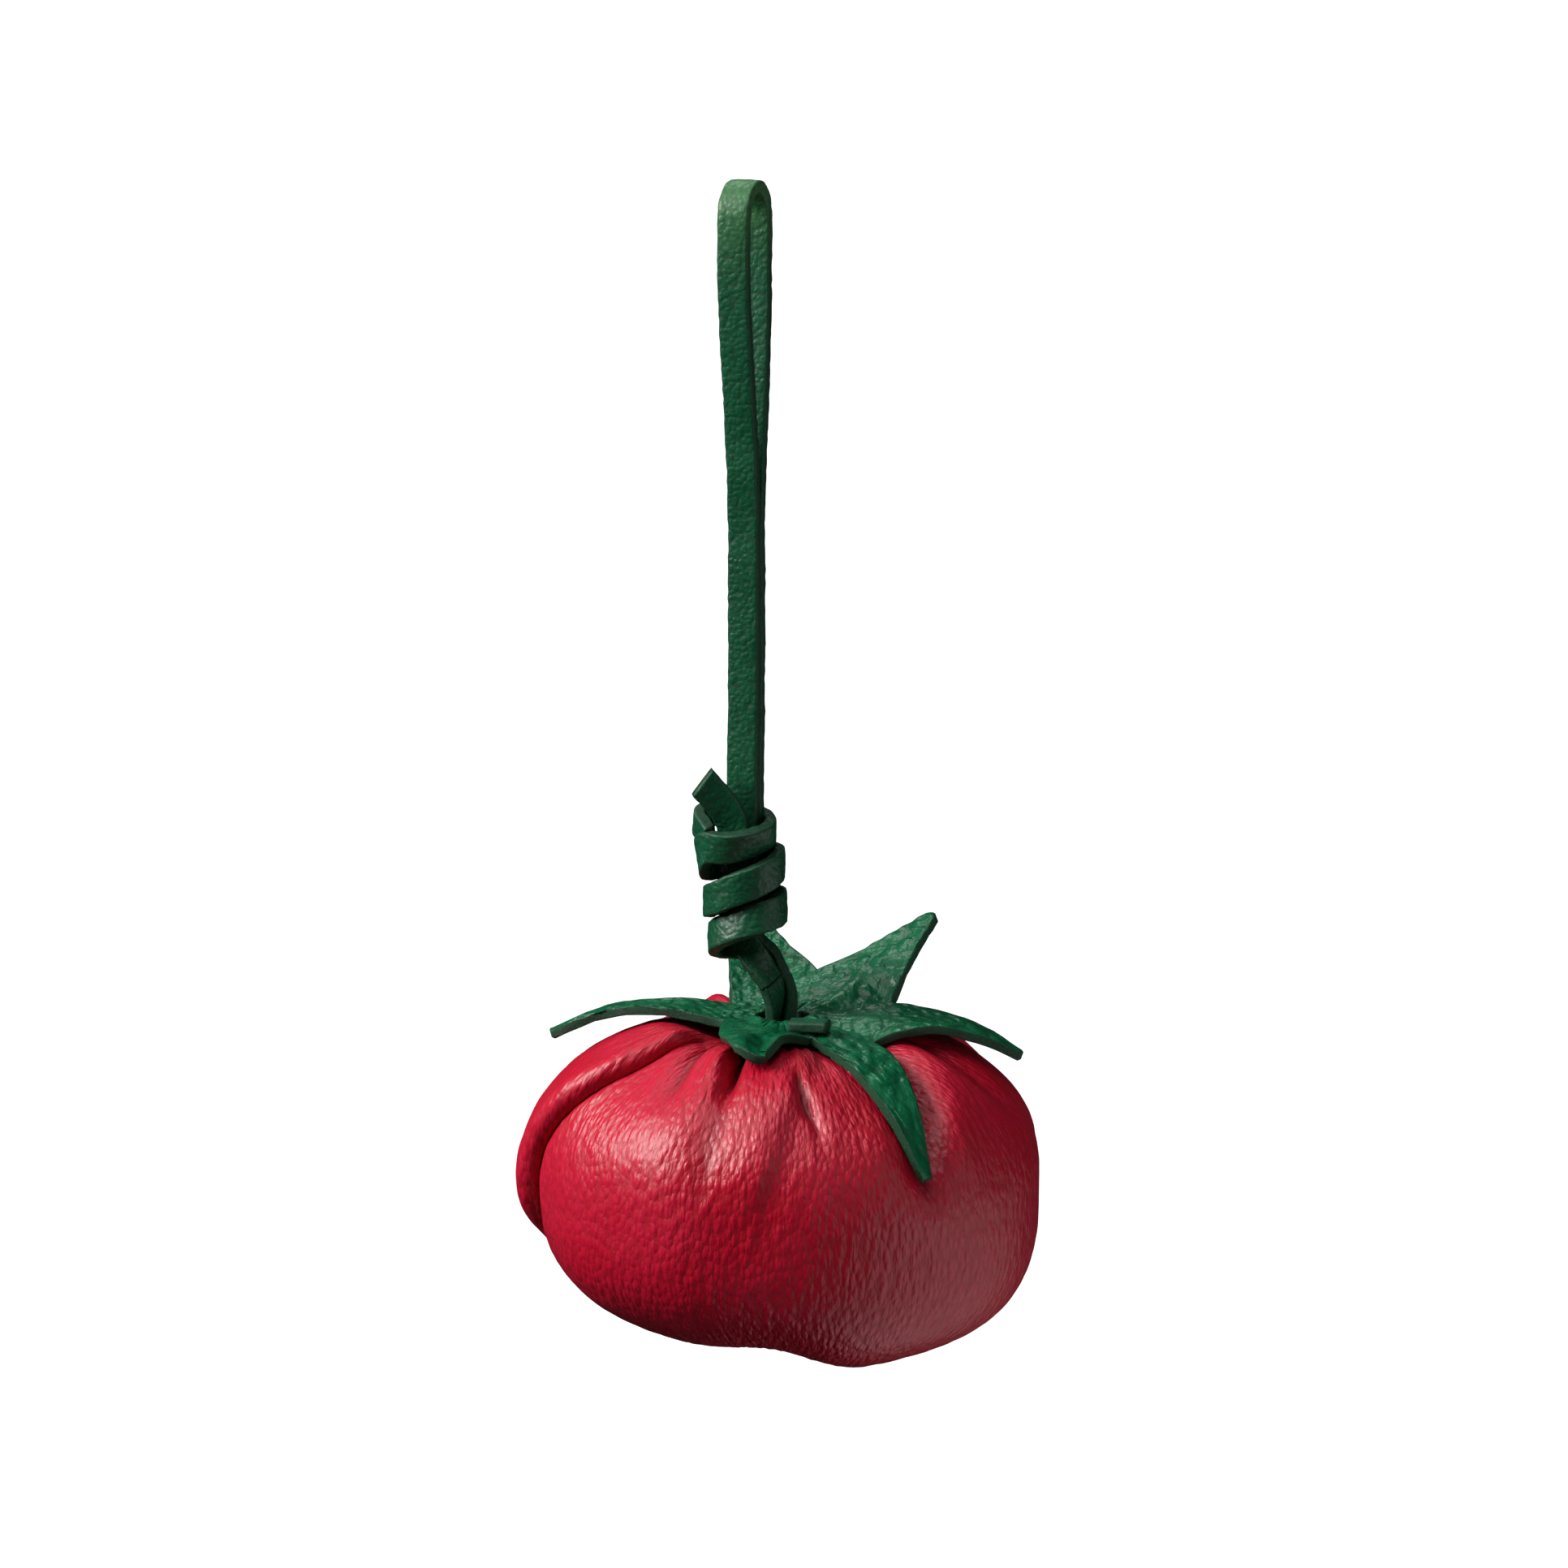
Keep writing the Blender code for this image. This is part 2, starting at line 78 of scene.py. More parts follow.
def makeCamera(v):
    lens = bpy.data.cameras.new("viewer")
    lens.sensor_width = v["sensor"]
    lens.lens = v["lens"]
    camera = bpy.data.objects.new("viewer", lens)
    bpy.context.scene.collection.objects.link(camera)
    up = math.radians(v["height"])
    away = Vector((0, -math.cos(up), math.sin(up))) * v["distance"]
    camera.location = Vector(v["aim"]) + away
    camera.rotation_euler = (-away).to_track_quat("-Z", "Y").to_euler()
    bpy.context.scene.camera = camera


makeCamera(viewer)
print("camera placed")


def ease(t):
    t = np.clip(t, 0, 1)
    return t * t * (3 - 2 * t)


def bump(value, middle, width):
    return np.exp(-(((value - middle) / width) ** 2))


def unit(v):
    return v / np.maximum(np.linalg.norm(v, axis=-1, keepdims=True), 1e-12)


def ripple(points, length, seed, waves=9):
    # Soft unevenness from a few crossed waves, about -1 to 1, the same each run.
    pick = np.random.default_rng(seed)
    ways = unit(pick.normal(size=(waves, points.shape[-1])))
    pace = pick.uniform(0.6, 1.6, waves) * 2 * math.pi / length
    start = pick.uniform(0, 2 * math.pi, waves)
    return np.sin(points @ (ways * pace[:, None]).T + start).mean(axis=-1) * 2.0


def throughPoints(points, count):
    # A smooth line through the points, with its steps evenly long.
    p = np.array(points, float)
    p = np.vstack((2 * p[0] - p[1], p, 2 * p[-1] - p[-2]))
    line = []
    for i in range(1, len(p) - 2):
        for t in np.arange(0, 1, 1 / 24):
            line.append(
                0.5 * (2 * p[i] + (p[i + 1] - p[i - 1]) * t
                       + (2 * p[i - 1] - 5 * p[i] + 4 * p[i + 1] - p[i + 2]) * t * t
                       + (3 * p[i] - p[i - 1] - 3 * p[i + 1] + p[i + 2]) * t ** 3)
            )
    line.append(p[-2])
    line = np.array(line)
    run = runAlong(line[:, :3])
    even = np.linspace(0, run[-1], count)
    return np.stack([np.interp(even, run, line[:, k]) for k in range(line.shape[1])], axis=1)


def meshFromRows(name, rows, ring=True, meet=False, caps=False, marks=None):
    # Faces between rows of points. marks: {attribute: values for each point}.
    rows = np.asarray(rows, float)
    count, across = rows.shape[:2]
    verts = rows.reshape(-1, 3)
    index = np.arange(count * across).reshape(count, across)
    nextRow = np.roll(index, -1, axis=0) if meet else index[1:]
    thisRow = index if meet else index[:-1]
    if ring:
        a, b = thisRow, np.roll(thisRow, -1, axis=1)
        d, c = nextRow, np.roll(nextRow, -1, axis=1)
    else:
        a, b, d, c = thisRow[:, :-1], thisRow[:, 1:], nextRow[:, :-1], nextRow[:, 1:]
    faces = np.stack((a, b, c, d), axis=-1).reshape(-1, 4).tolist()
    marks = {k: np.asarray(v, float).reshape(len(verts), -1) for k, v in (marks or {}).items()}
    if caps:
        for row, turned in ((0, True), (count - 1, False)):
            centre = len(verts)
            verts = np.vstack((verts, rows[row].mean(axis=0)))
            for k, v in marks.items():
                marks[k] = np.vstack((v, v[index[row]].mean(axis=0) if k != "cut" else [1.0]))
            for i in range(across):
                j = (i + 1) % across
                pair = (index[row][i], index[row][j])
                faces.append([centre, *(pair[::-1] if turned else pair)])
    mesh = bpy.data.meshes.new(name)
    mesh.from_pydata(verts.tolist(), [], [[int(i) for i in f] for f in faces])
    for k, v in marks.items():
        if v.shape[1] == 1:
            mesh.attributes.new(k, "FLOAT", "POINT").data.foreach_set("value", v[:, 0].astype(np.float32))
        else:
            mesh.attributes.new(k, "FLOAT_VECTOR", "POINT").data.foreach_set("vector", v.ravel().astype(np.float32))
    mesh.update()
    piece = bpy.data.objects.new(name, mesh)
    bpy.context.scene.collection.objects.link(piece)
    turnOut(piece)
    mesh.shade_smooth()
    return piece


def turnOut(piece):
    # Turn the faces outwards by the sign of the closed mesh's volume.
    mesh = piece.data
    mesh.calc_loop_triangles()
    co = np.array([v.co for v in mesh.vertices])
    tri = np.array([t.vertices for t in mesh.loop_triangles])
    a, b, c = co[tri[:, 0]], co[tri[:, 1]], co[tri[:, 2]]
    if (a * np.cross(b, c)).sum() < 0:
        mesh.flip_normals()


def laceSection(width, thick, corner=0.00032, faceSteps=9, domed=0.06):
    # Points round a lace's section: across its width, out of its face, and how much they lie on a cut edge.
    halfW, halfT = width / 2, thick / 2

    def rounded(sign, upDown, deg):
        r = math.radians(deg)
        across = halfW - corner + corner * math.sin(r)
        return sign * across, upDown * (halfT - corner + corner * math.cos(r)), 0.6

    points = []
    for sign in (1, -1):
        for a in np.linspace(-1, 1, faceSteps):
            points.append((a * (halfW - corner) * sign, sign * halfT * (1 + domed * (1 - a * a)), 0.0))
        points += [rounded(sign, sign, deg) for deg in (30, 60)]
        points += [(sign * halfW, sign * a * (halfT - corner), 1.0) for a in np.linspace(0.85, -0.85, 4)]
        points += [rounded(sign, -sign, deg) for deg in (60, 30)]
    return np.array(points)


def runAlong(line):
    return np.concatenate(([0], np.cumsum(np.linalg.norm(np.diff(line, axis=0), axis=1))))


def laceAlong(name, line, across, facing, width, thick, seed, uneven=0.00006, slant=0.0, highlightAt=-1.0):
    # A flat lace on a centre line, with its own small unevenness, a grain that follows it and marked cut edges.
    # slant cuts its far end askew, and the last argument is how far along a paler painted highlight is centred.
    section = laceSection(width, thick)
    line, across, facing = (np.asarray(v, float) for v in (line, across, facing))
    run = runAlong(line)
    alongWave = np.stack((run, np.zeros_like(run) + seed), axis=1)
    wider = (1 + 0.025 * ripple(alongWave, 0.009, seed))[:, None, None]
    ahead = unit(np.gradient(line, axis=0)) * (slant * ease((run - run[-1] + 0.003) / 0.003))[:, None]
    rows = line[:, None] + section[:, :1] * (wider * across[:, None] + ahead[:, None])
    rows = rows + section[:, 1:2] * facing[:, None]
    around = runAlong(section[:, :2])
    turn = around / (around[-1] + 0.0005) * 2 * math.pi
    radius = around[-1] / (2 * math.pi)
    runs = np.repeat(run[:, None], len(section), axis=1)
    grain = np.stack((radius * np.cos(turn) + 0 * runs, radius * np.sin(turn) + 0 * runs, runs), axis=2)
    cut = section[:, 2] + 0 * runs
    outward = unit(rows - rows.mean(axis=1, keepdims=True))
    rows = rows + outward * (uneven * ripple(grain, 0.0016, seed + 1))[..., None]
    rows = rows + outward * (uneven * 0.8 * cut * ripple(grain, 0.0005, seed + 2))[..., None]
    cut[0, :] = cut[-1, :] = 1
    # Painted highlight: a paler band centred there, where the strap bends over the hook and is lit from above.
    worn = bump(runs, highlightAt, 0.010)
    return meshFromRows(name, rows, caps=True, marks={"grain": grain, "cut": cut, "worn": worn})


def lineFrames(line, widthWay):
    # Directions along a line: the width kept near widthWay, and out of the face.
    line = np.asarray(line, float)
    along = unit(np.gradient(line, axis=0))
    widthWay = np.broadcast_to(np.asarray(widthWay, float), line.shape)
    across = unit(widthWay - along * (widthWay * along).sum(axis=1, keepdims=True))
    return across, np.cross(across, along)


# The strap: one lace, folded in two.
strap = {
    "width": 0.0046,
    "thick": 0.0017,
    "gap": 0.0002,
    "foldInner": 0.0036,
    "foldToSpread": 0.0050,
    "bendStart": -0.008,
    "wander": 0.00018,  # how far the strands stray sideways
}


def strapLine(s):
    # Up the front strand, over the fold that hangs on the hook, and down the back strand.
    halfPair = (s["thick"] + s["gap"]) / 2
    radius = s["foldInner"] + s["thick"] / 2
    foldZ = -s["foldInner"]
    wideZ = foldZ - s["foldToSpread"]
    endZ = strapEnd[2]
    out, z = [], []
    for level in np.linspace(endZ, place["twistZ"], 60):
        out.append(halfPair)
        z.append(level)
    for t in np.linspace(0, 1, 60)[1:]:
        out.append(halfPair + (radius - halfPair) * float(ease(t)))
        z.append(place["twistZ"] + (wideZ - place["twistZ"]) * t)
    for t in np.linspace(0, 1, 8)[1:]:
        out.append(radius)
        z.append(wideZ + (foldZ - wideZ) * t)
    for a in np.linspace(0, math.pi / 2, 14)[1:]:
        out.append(radius * math.cos(a))
        z.append(foldZ + radius * math.sin(a))
    out = np.array(out + [-v for v in out[-2::-1]])
    z = np.array(z + z[-2::-1])
    line = laceFacing * out[:, None]
    line[:, 2] = z
    sway = np.stack((z, np.sign(out) * 0.003), axis=1)
    line[:, 0] += s["wander"] * ripple(sway, 0.045, 5)
    return line


def makeStrap(s):
    line = strapLine(s)
    across, facing = lineFrames(line, laceAcross)
    # The fold over the hook gets the painted highlight, paler green as if lit from above.
    lace = laceAlong("strapLace", line, across, facing, s["width"], s["thick"], seed=11, highlightAt=0.1118)
    return lace, line


strapLace, strapRoute = makeStrap(strap)
strapLength = float(np.linalg.norm(np.diff(strapRoute, axis=0), axis=1).sum())
print("strap lace", round(strapLength, 4))

keeper = {
    "radius": 0.00500,
    "width": 0.0046,
    "thick": 0.0017,
    # (turn, height in mm) of the lace's middle: whole turns are on the left, then front, right and back
    "heights": (
        (-0.26, -110.2), (-0.1, -109.4), (0, -108.1), (0.25, -104.7), (0.5, -103.2), (0.75, -102.8), (1.0, -102.7),
        (1.25, -99.4), (1.5, -96.9), (1.75, -97.4), (1.93, -97.6), (2.0, -96.8), (2.06, -95.1), (2.12, -94.0),
        (2.25, -93.7), (2.5, -92.1), (2.75, -90.2), (2.9, -90.7), (3.0, -91.9), (3.09, -93.0),
    ),
    "middle": (-0.0003, -0.0003),
    "topLeft": 0.0016,  # how far the top ring hangs to the left
    "mouthRight": 0.0007,  # and the lowest turn to the right
    "mouthTip": -0.42,  # the lowest turn opens towards the viewer
    "topTip": 0.75,  # the top ring leans towards the viewer
    "tuckIn": 0.0014,  # how far the end goes in behind the ring
    "tail": (
        (-0.0014, -0.0026, -0.0955), (-0.0016, -0.0028, -0.0922),
        (-0.0028, -0.0033, -0.0887), (-0.0063, -0.0040, -0.0843),
    ),
    "tailWidth": 0.0047,
    "tailWay": (0.79, 0.02, 0.63),  # how its width lies at the end
    "tailSlant": 0.26,
}


def keeperAt(turn, k):
    # Place and outward way of the keeper's lace after so many turns.
    angle = math.pi + 2 * math.pi * turn
    tip = k["mouthTip"] * (1 - ease((turn - 0.15) / 0.5)) + k["topTip"] * ease((turn - 2.05) / 0.4)
    e2 = unit(np.stack((0 * turn, np.ones_like(turn), tip), axis=-1))
    ring = np.stack((np.cos(angle), 0 * turn, 0 * turn), axis=-1) + e2 * np.sin(angle)[:, None]
    radius = k["radius"] * (1 + 0.03 * np.cos(2 * angle + 0.6)) + 0.0003 * ease((turn - 2.1) / 0.2)
    radius = radius - 0.0002 * bump(turn, 2.0, 0.22) - k["tuckIn"] * ease((turn - 2.92) / 0.12)
    mid = throughPoints(k["heights"], 500)
    line = ring * radius[:, None]
    line[:, 0] += k["middle"][0] - k["topLeft"] * ease((turn - 1.9) / 0.2) + k["mouthRight"] * (1 - ease(turn / 0.9))
    line[:, 1] += k["middle"][1]
    line[:, 2] = np.interp(turn, mid[:, 0], mid[:, 1]) * 0.001
    return line, ring


def twistedFrames(line, first, last):
    # Frames whose width turns from one way to another along the line.
    share = ease(np.linspace(0, 1, len(line)))[:, None]
    return lineFrames(line, np.array(first) * (1 - share) + np.array(last) * share)


def makeKeeper(k):
    turns = np.linspace(k["heights"][0][0], k["heights"][-1][0], 340)
    line, ring = keeperAt(turns, k)
    along = unit(np.gradient(line, axis=0))
    outward = unit(ring - along * (ring * along).sum(axis=1, keepdims=True))
    up = unit(np.cross(outward, along))
    up *= np.sign(up[:, 2:3])
    wraps = laceAlong("keeperWraps", line, up, outward, k["width"], k["thick"], seed=23)
    tailLine = throughPoints(k["tail"], 36)
    across, facing = twistedFrames(tailLine, laceAcross, k["tailWay"])
    size = (k["tailWidth"], k["thick"])
    return wraps, laceAlong("keeperTail", tailLine, across, facing, *size, seed=29, slant=k["tailSlant"])


keeperWraps, keeperTail = makeKeeper(keeper)
print("keeper")

neckLaces = {
    "width": 0.0042,
    "thick": 0.0016,
    # Points down each strand, and the way its width lies at the start and at the end.
    "strands": {
        "mouthLaceFront": (
            ((-0.0003, -0.0009, -0.1078), (0.0001, -0.0012, -0.1090), (0.0014, -0.0019, -0.1110),
             (0.0036, -0.0021, -0.1143)),
            (0.94, -0.34, 0.0), (0.60, 0.78, 0.15),
        ),
        "mouthLaceBack": (
            ((0.0003, 0.0009, -0.1078), (0.0010, 0.0011, -0.1090), (0.0032, 0.0013, -0.1110),
             (0.0054, 0.0011, -0.1146)),
            (0.94, -0.34, 0.0), (0.45, -0.88, 0.1),
        ),
        "holeLaceFront": (
            ((0.0036, -0.0020, -0.1142), (0.0042, -0.0014, -0.1165), (0.0043, -0.0008, -0.1190),
             (0.0041, -0.0003, -0.1215), (0.0045, 0.0, -0.1260)),
            (0.60, 0.78, 0.15), (0.06, 0.99, 0.0),
        ),
        "holeLaceBack": (
            ((0.0052, 0.0010, -0.1140), (0.0060, 0.0009, -0.1165), (0.0061, 0.0006, -0.1190),
             (0.0060, 0.0003, -0.1215), (0.0064, 0.0, -0.1260)),
            (0.45, -0.88, 0.10), (0.02, -1.0, 0.0),
        ),
    },
}


def makeNeckLaces(n):
    made = []
    for seed, (name, (points, first, last)) in enumerate(n["strands"].items(), start=31):
        line = throughPoints(points, 44)
        across, facing = twistedFrames(line, first, last)
        made.append(laceAlong(name, line, across, facing, n["width"], n["thick"], seed))
    return made


mouthFront, mouthBack, holeFront, holeBack = makeNeckLaces(neckLaces)
print("neck laces")

# The stuffed skin. Latitudes and angles are in degrees about the hub, and the viewer is at 270.
tomato = {
    "equatorZ": -0.1441,
    "left": 0.0358,
    "right": 0.0376,
    "deep": 0.0344,
    "rise": 0.0245,  # from the equator to the top
    "fallLeft": 0.0230,
    "fallRight": 0.0258,
    "roundTop": 2.2,
    "roundLeft": 2.6,
    "roundRight": 2.95,
    "well": (0.0045, 0.0050, 0.0065),  # depth, where, how wide: the dip round the neck
    "waist": (0.0020, 0.0065),  # depth and half width of the dip between the lower lobes
    "dimple": (0.0024, 0.0045),
    "neckRadius": 0.0052,
    "grooveRadius": 0.0068,
    "wall": 0.0012,
    "baseHole": 0.0010,
    "spread": 35.0,  # mm from the hub at which the columns are set out
    "columns": 452,
    "rows": 184,
}

# The big roll on the left: where its groove runs, (latitude, angle), and its section.
roll = {
    "groove": (
        (-40, 181), (-24, 184), (-8, 187.5), (4, 188.5), (14, 191),
        (24, 196), (37, 203), (48, 209), (60, 214), (70, 218),
    ),
    "home": 196,
    "reach": 62,
    # mm over the leather from the groove, then where that point goes: to the back, and outwards
    "section": (
        (-9, -9, 0), (-6, -6, 0.2), (-3.4, -3.4, 0.55), (-1.8, -1.7, 0.45), (-0.8, -0.7, -0.1), (0, 0.0, -0.9),
        (0.7, 0.3, -1.3), (1.3, 0.0, -1.0), (2.1, -0.8, -0.3), (3.1, -1.45, 0.8), (4.0, -1.5, 1.7), (4.9, -1.1, 2.6),
        (5.9, -0.2, 3.3), (7.0, 1.1, 3.6), (8.2, 2.6, 3.5), (9.6, 4.4, 3.2), (11.4, 7.0, 3.0), (14, 11, 2.8),
        (18, 16.5, 2.3), (25, 24.6, 1.1), (32, 32, 0.3), (38, 38, 0),
    ),
    "fromLatitude": (-24, 4),
    "toLatitude": (60, 74),
}

# Pleats from the neck: (latitude, angle) along each, depth and half width in mm,
# and how much the leather is raised on its low-angle side (a lip) and on both (shoulders).
pleats = (
    (((46, 233), (54, 231), (66, 227)), 1.3, 2.0, 0.0, 0.3),
    (((49, 251), (56, 250), (72, 247)), 3.0, 1.2, 0.0, 0.6),
    (((16, 250), (30, 251), (46, 252), (56, 252)), 0.7, 2.6, 0.0, 0.1),
    (((8, 264), (15, 266), (27, 269), (38, 272), (55, 280), (70, 290)), 0.3, 2.6, 1.0, 0.0),
    (((35, 279), (41, 277), (50, 275)), 1.6, 0.8, 0.2, 0.1),
    (((14, 307), (22, 308), (32, 310), (45, 316), (58, 322), (72, 327)), 3.0, 3.4, 0.0, 0.4),
    (((30, 345), (48, 347), (70, 350)), 1.0, 2.2, 0.0, 0.2),
    (((8, 14), (32, 12), (70, 10)), 1.6, 2.0, 0.3, 0.3),
    (((25, 40), (50, 44), (72, 48)), 1.2, 1.2, 0.3, 0.2),
    (((2, 74), (30, 72), (72, 66)), 1.9, 1.8, 0.6, 0.3),
    (((28, 96), (72, 92)), 1.1, 1.2, 0.0, 0.3),
    (((15, 116), (40, 114), (72, 110)), 1.7, 1.3, 0.7, 0.2),
    (((30, 140), (72, 141)), 1.3, 1.5, 0.0, 0.4),
)

# Swellings of the shoulders: (latitude, angle, height in mm, spread in degrees).
swellings = (
    (58, 117, 2.2, 8),
    (54, 30, 1.9, 14),
    (60, 240, 1.5, 8),
    (48, 262, 0.8, 12),
    (50, 288, 0.7, 9),
    (28, 232, 0.9, 26),
    (20, 262, 0.4, 12),
    (20, 345, 0.5, 22),
    (-30, 290, 0.5, 30),
)


def bodyOutline(angle, t):
    halfX = (t["right"] + t["left"]) / 2 + (t["right"] - t["left"]) / 2 * np.cos(angle)
    return halfX * t["deep"] / np.hypot(t["deep"] * np.cos(angle), halfX * np.sin(angle))


def bodyAt(latitude, angle, t, inset=0.0):
    # The stuffed body before its pleats: latitude and angle in radians, about the hub's axis.
    side = ease((np.cos(angle) + 0.5) / 1.2)
    power = np.where(latitude > 0, t["roundTop"], t["roundLeft"] + (t["roundRight"] - t["roundLeft"]) * side)
    radius = (bodyOutline(angle, t) - inset) * np.abs(np.cos(latitude)) ** (2 / power)
    x, y = radius * np.cos(angle), radius * np.sin(angle)
    fall = t["fallLeft"] + (t["fallRight"] - t["fallLeft"]) * ease((x + 0.006) / 0.018)
    tall = np.where(latitude > 0, t["rise"], fall) - inset
    z = t["equatorZ"] + np.sign(latitude) * tall * np.abs(np.sin(latitude)) ** (2 / power)
    depth, where, wide = t["well"]
    z = z - np.where(latitude > 0, depth * bump(radius, where, wide), 0)
    low = ease(-latitude / 1.2)
    z = z + low * t["waist"][0] * bump(x, 0.0012, t["waist"][1]) * (1 - 0.5 * ease(np.abs(y) / 0.03))
    z = z + low * t["dimple"][0] * bump(radius, 0, t["dimple"][1])
    return np.stack((hubX + x, y, z), axis=-1)


def gridNormals(points):
    # Outward normals of a grid whose columns close round the body.
    down = np.gradient(points, axis=0)
    wrapped = np.concatenate((points[:, -1:], points, points[:, :1]), axis=1)
    round_ = (wrapped[:, 2:] - wrapped[:, :-2]) / 2
    return unit(np.cross(down, round_))


def bodyNormal(latitude, angle, t):
    # Outward way of the body before its pleats.
    nudge = 0.004
    down = bodyAt(latitude - nudge, angle, t) - bodyAt(latitude + nudge, angle, t)
    round_ = bodyAt(latitude, angle + nudge, t) - bodyAt(latitude, angle - nudge, t)
    return unit(np.cross(down, round_))


def columnPlan(t):
    # Where the columns lie, in mm round the girth from the roll's groove: close together in the roll.
    half = math.pi * t["spread"]
    marks = ((-half, 0), (-44, 96), (-9, 188), (-2.5, 208), (10, 292), (20, 322), (half, t["columns"]))
    return np.interp(np.arange(t["columns"]), [m[1] for m in marks], [m[0] for m in marks])


# Each sepal: its way, reach, blunt tip's width, (distance from the hub, height over it) along its middle in mm,
# and how far its two sides bow out: the low-angle side, then the high-angle side.
sepals = (
    (0, 0.0345, 0.0016, ((4, 0), (12, 0.7), (18, 0.5), (25, -0.4), (30, -2.3), (34.5, -4.9)), (0.0004, 0.0005)),
    (45, 0.0315, 0.0020, ((4, 0), (10, 1.5), (15, 3.6), (22, 6.8), (31.5, 10.8)), (0.0004, -0.0002)),
    (104, 0.0320, 0.0018, ((4, 0), (10, 1.7), (15, 4.0), (22, 7.3), (32, 11.4)), (0.0003, 0.0000)),
    (178, 0.0336, 0.0018, ((4, 0), (10, 1.2), (16, 1.9), (22, 2.1), (27, 1.0), (33.6, -2.1)), (0.0003, 0.0003)),
    (257, 0.0215, 0.0044, ((4, 0), (10, 0.5), (16, 1.1), (19, 1.1), (21.5, 0.4)), (0.0012, -0.0006)),
    (
        305, 0.0350, 0.0012, ((4, 0), (10, 0.1), (15, -0.8), (20, -2.3), (25, -4.8), (30, -9.2), (35, -16.6)),
        (0.0010, 0.0012),
    ),
)
frontSepal = 4
# The notch after each sepal: its way, how far out it is, and its height over the hub in mm.
notches = (
    (22.5, 0.0172, 0.7), (70.5, 0.0152, 4.2), (141, 0.0098, 0.8),
    (206, 0.0096, 0.7), (291, 0.0112, -0.4), (330, 0.0150, -1.6),
)
star = {
    "thick": 0.0013,
    "hole": 0.0039,
    "clear": 0.00035,  # air under it
    "give": 0.006,  # the most that the skin gives way under it
    "steepest": 0.35,  # where the skin is steeper than this, its slope no longer adds room
    "lowest": -0.150,  # no sepal reaches the skin below this height
    "lookFrom": -0.08,
    "level": place["calyxTop"] - 0.00065,
    "sideSteps": 15,
    "rows": 46,
}


def starOutline(sepalList, notchList, s):
    # Points round the star, each with the sepal it belongs to.
    outline = []
    for i, (way, reach, tipWidth, _, bows) in enumerate(sepalList):
        ahead = np.array((math.cos(math.radians(way)), math.sin(math.radians(way))))
        side = np.array((-ahead[1], ahead[0]))
        tip = ahead * reach
        for notch, sign, bow in ((notchList[i - 1], -1, bows[0]), (notchList[i], 1, bows[1])):
            a = math.radians(notch[0])
            corner = np.array((math.cos(a), math.sin(a))) * notch[1]
            out = side * sign
            span = tip + out * tipWidth / 2 - corner
            steps = [corner + span * q + out * bow * math.sin(math.pi * q) for q in np.linspace(0, 1, s["sideSteps"])]
            if sign < 0:
                steps += [tip - side * tipWidth / 2 * c + ahead * tipWidth * 0.22 * (1 - c * c) for c in (0.5, 0, -0.5)]
            else:
                steps = steps[::-1][:-1]
            outline += [(p, i) for p in steps]
    return np.array([p for p, _ in outline]), np.array([i for _, i in outline])


def sheetHeight(flat, owner, sepalList, notchList):
    # Height over the hub of points laid out flat, from the sepal they belong to and its nearer notch.
    radius = np.hypot(flat[:, 0], flat[:, 1])
    turn = np.degrees(np.arctan2(flat[:, 1], flat[:, 0]))
    height = np.zeros(len(flat))
    for i, (way, _, _, profile, _) in enumerate(sepalList):
        mine = np.where(owner == i)[0]
        apart = (turn[mine] - way + 180) % 360 - 180
        mid = throughPoints(np.array(profile, float) * 0.001, 80)
        middle = np.interp(radius[mine], mid[:, 0], mid[:, 1], left=0)
        for sign, notch in ((-1, notchList[i - 1]), (1, notchList[i])):
            gap = abs((notch[0] - way + 180) % 360 - 180)
            step = notch[2] * 0.001 - np.interp(notch[1], mid[:, 0], mid[:, 1])
            inside = np.clip((radius[mine] - 0.004) / (notch[1] - 0.004), 0, 1)
            fade = inside * np.exp(-np.clip(radius[mine] - notch[1], 0, None) / 0.006)
            here = (np.sign(apart) == sign) | ((apart == 0) & (sign == 1))
            height[mine[here]] = (middle + step * fade * ease(np.abs(apart) / gap))[here]
    return height


def starSheet(sepalList, notchList, s):
    # The star's sheet as it hangs before it meets the skin: flat places and heights over the hub.
    outline, owner = starOutline(sepalList, notchList, s)
    t = np.linspace(0, 1, s["rows"]) ** 1.1
    inner = unit(outline) * s["hole"]
    flat = inner[None] + (outline - inner)[None] * t[:, None, None]
    owners = np.broadcast_to(owner, flat.shape[:2]).ravel()
    height = sheetHeight(flat.reshape(-1, 2), owners, sepalList, notchList).reshape(flat.shape[:2])
    radius = np.hypot(flat[..., 0], flat[..., 1])
    wave = 0.00028 * ripple(flat, 0.010, 51) + 0.00010 * ripple(flat, 0.0035, 52)
    height += wave * ease((radius - 0.005) / 0.012)
    turn = np.arctan2(flat[..., 1], flat[..., 0])
    height += 0.00010 * np.sin(turn * 46) * bump(radius, 0.0065, 0.0035)  # small wrinkles round the hole
    front = (owner == frontSepal)[None, :] * ease((radius - 0.010) / 0.008)  # the crumpled one
    height += front * (0.0007 * np.sin(flat[..., 0] * 900 + 1.0) - 0.0006 * ease((radius - 0.020) / 0.005))
    return outline, flat, height


def gridTree(points):
    # A search tree over a grid whose columns close round.
    rows, across = points.shape[:2]
    index = np.arange(rows * across).reshape(rows, across)
    upper, lower = index[:-1], index[1:]
    faces = np.stack((upper, np.roll(upper, -1, 1), np.roll(lower, -1, 1), lower), axis=-1)
    return BVHTree.FromPolygons(points.reshape(-1, 3).tolist(), faces.reshape(-1, 4).tolist())


def pieceTree(piece):
    mesh = piece.data
    return BVHTree.FromPolygons([v.co for v in mesh.vertices], [f.vertices for f in mesh.polygons])


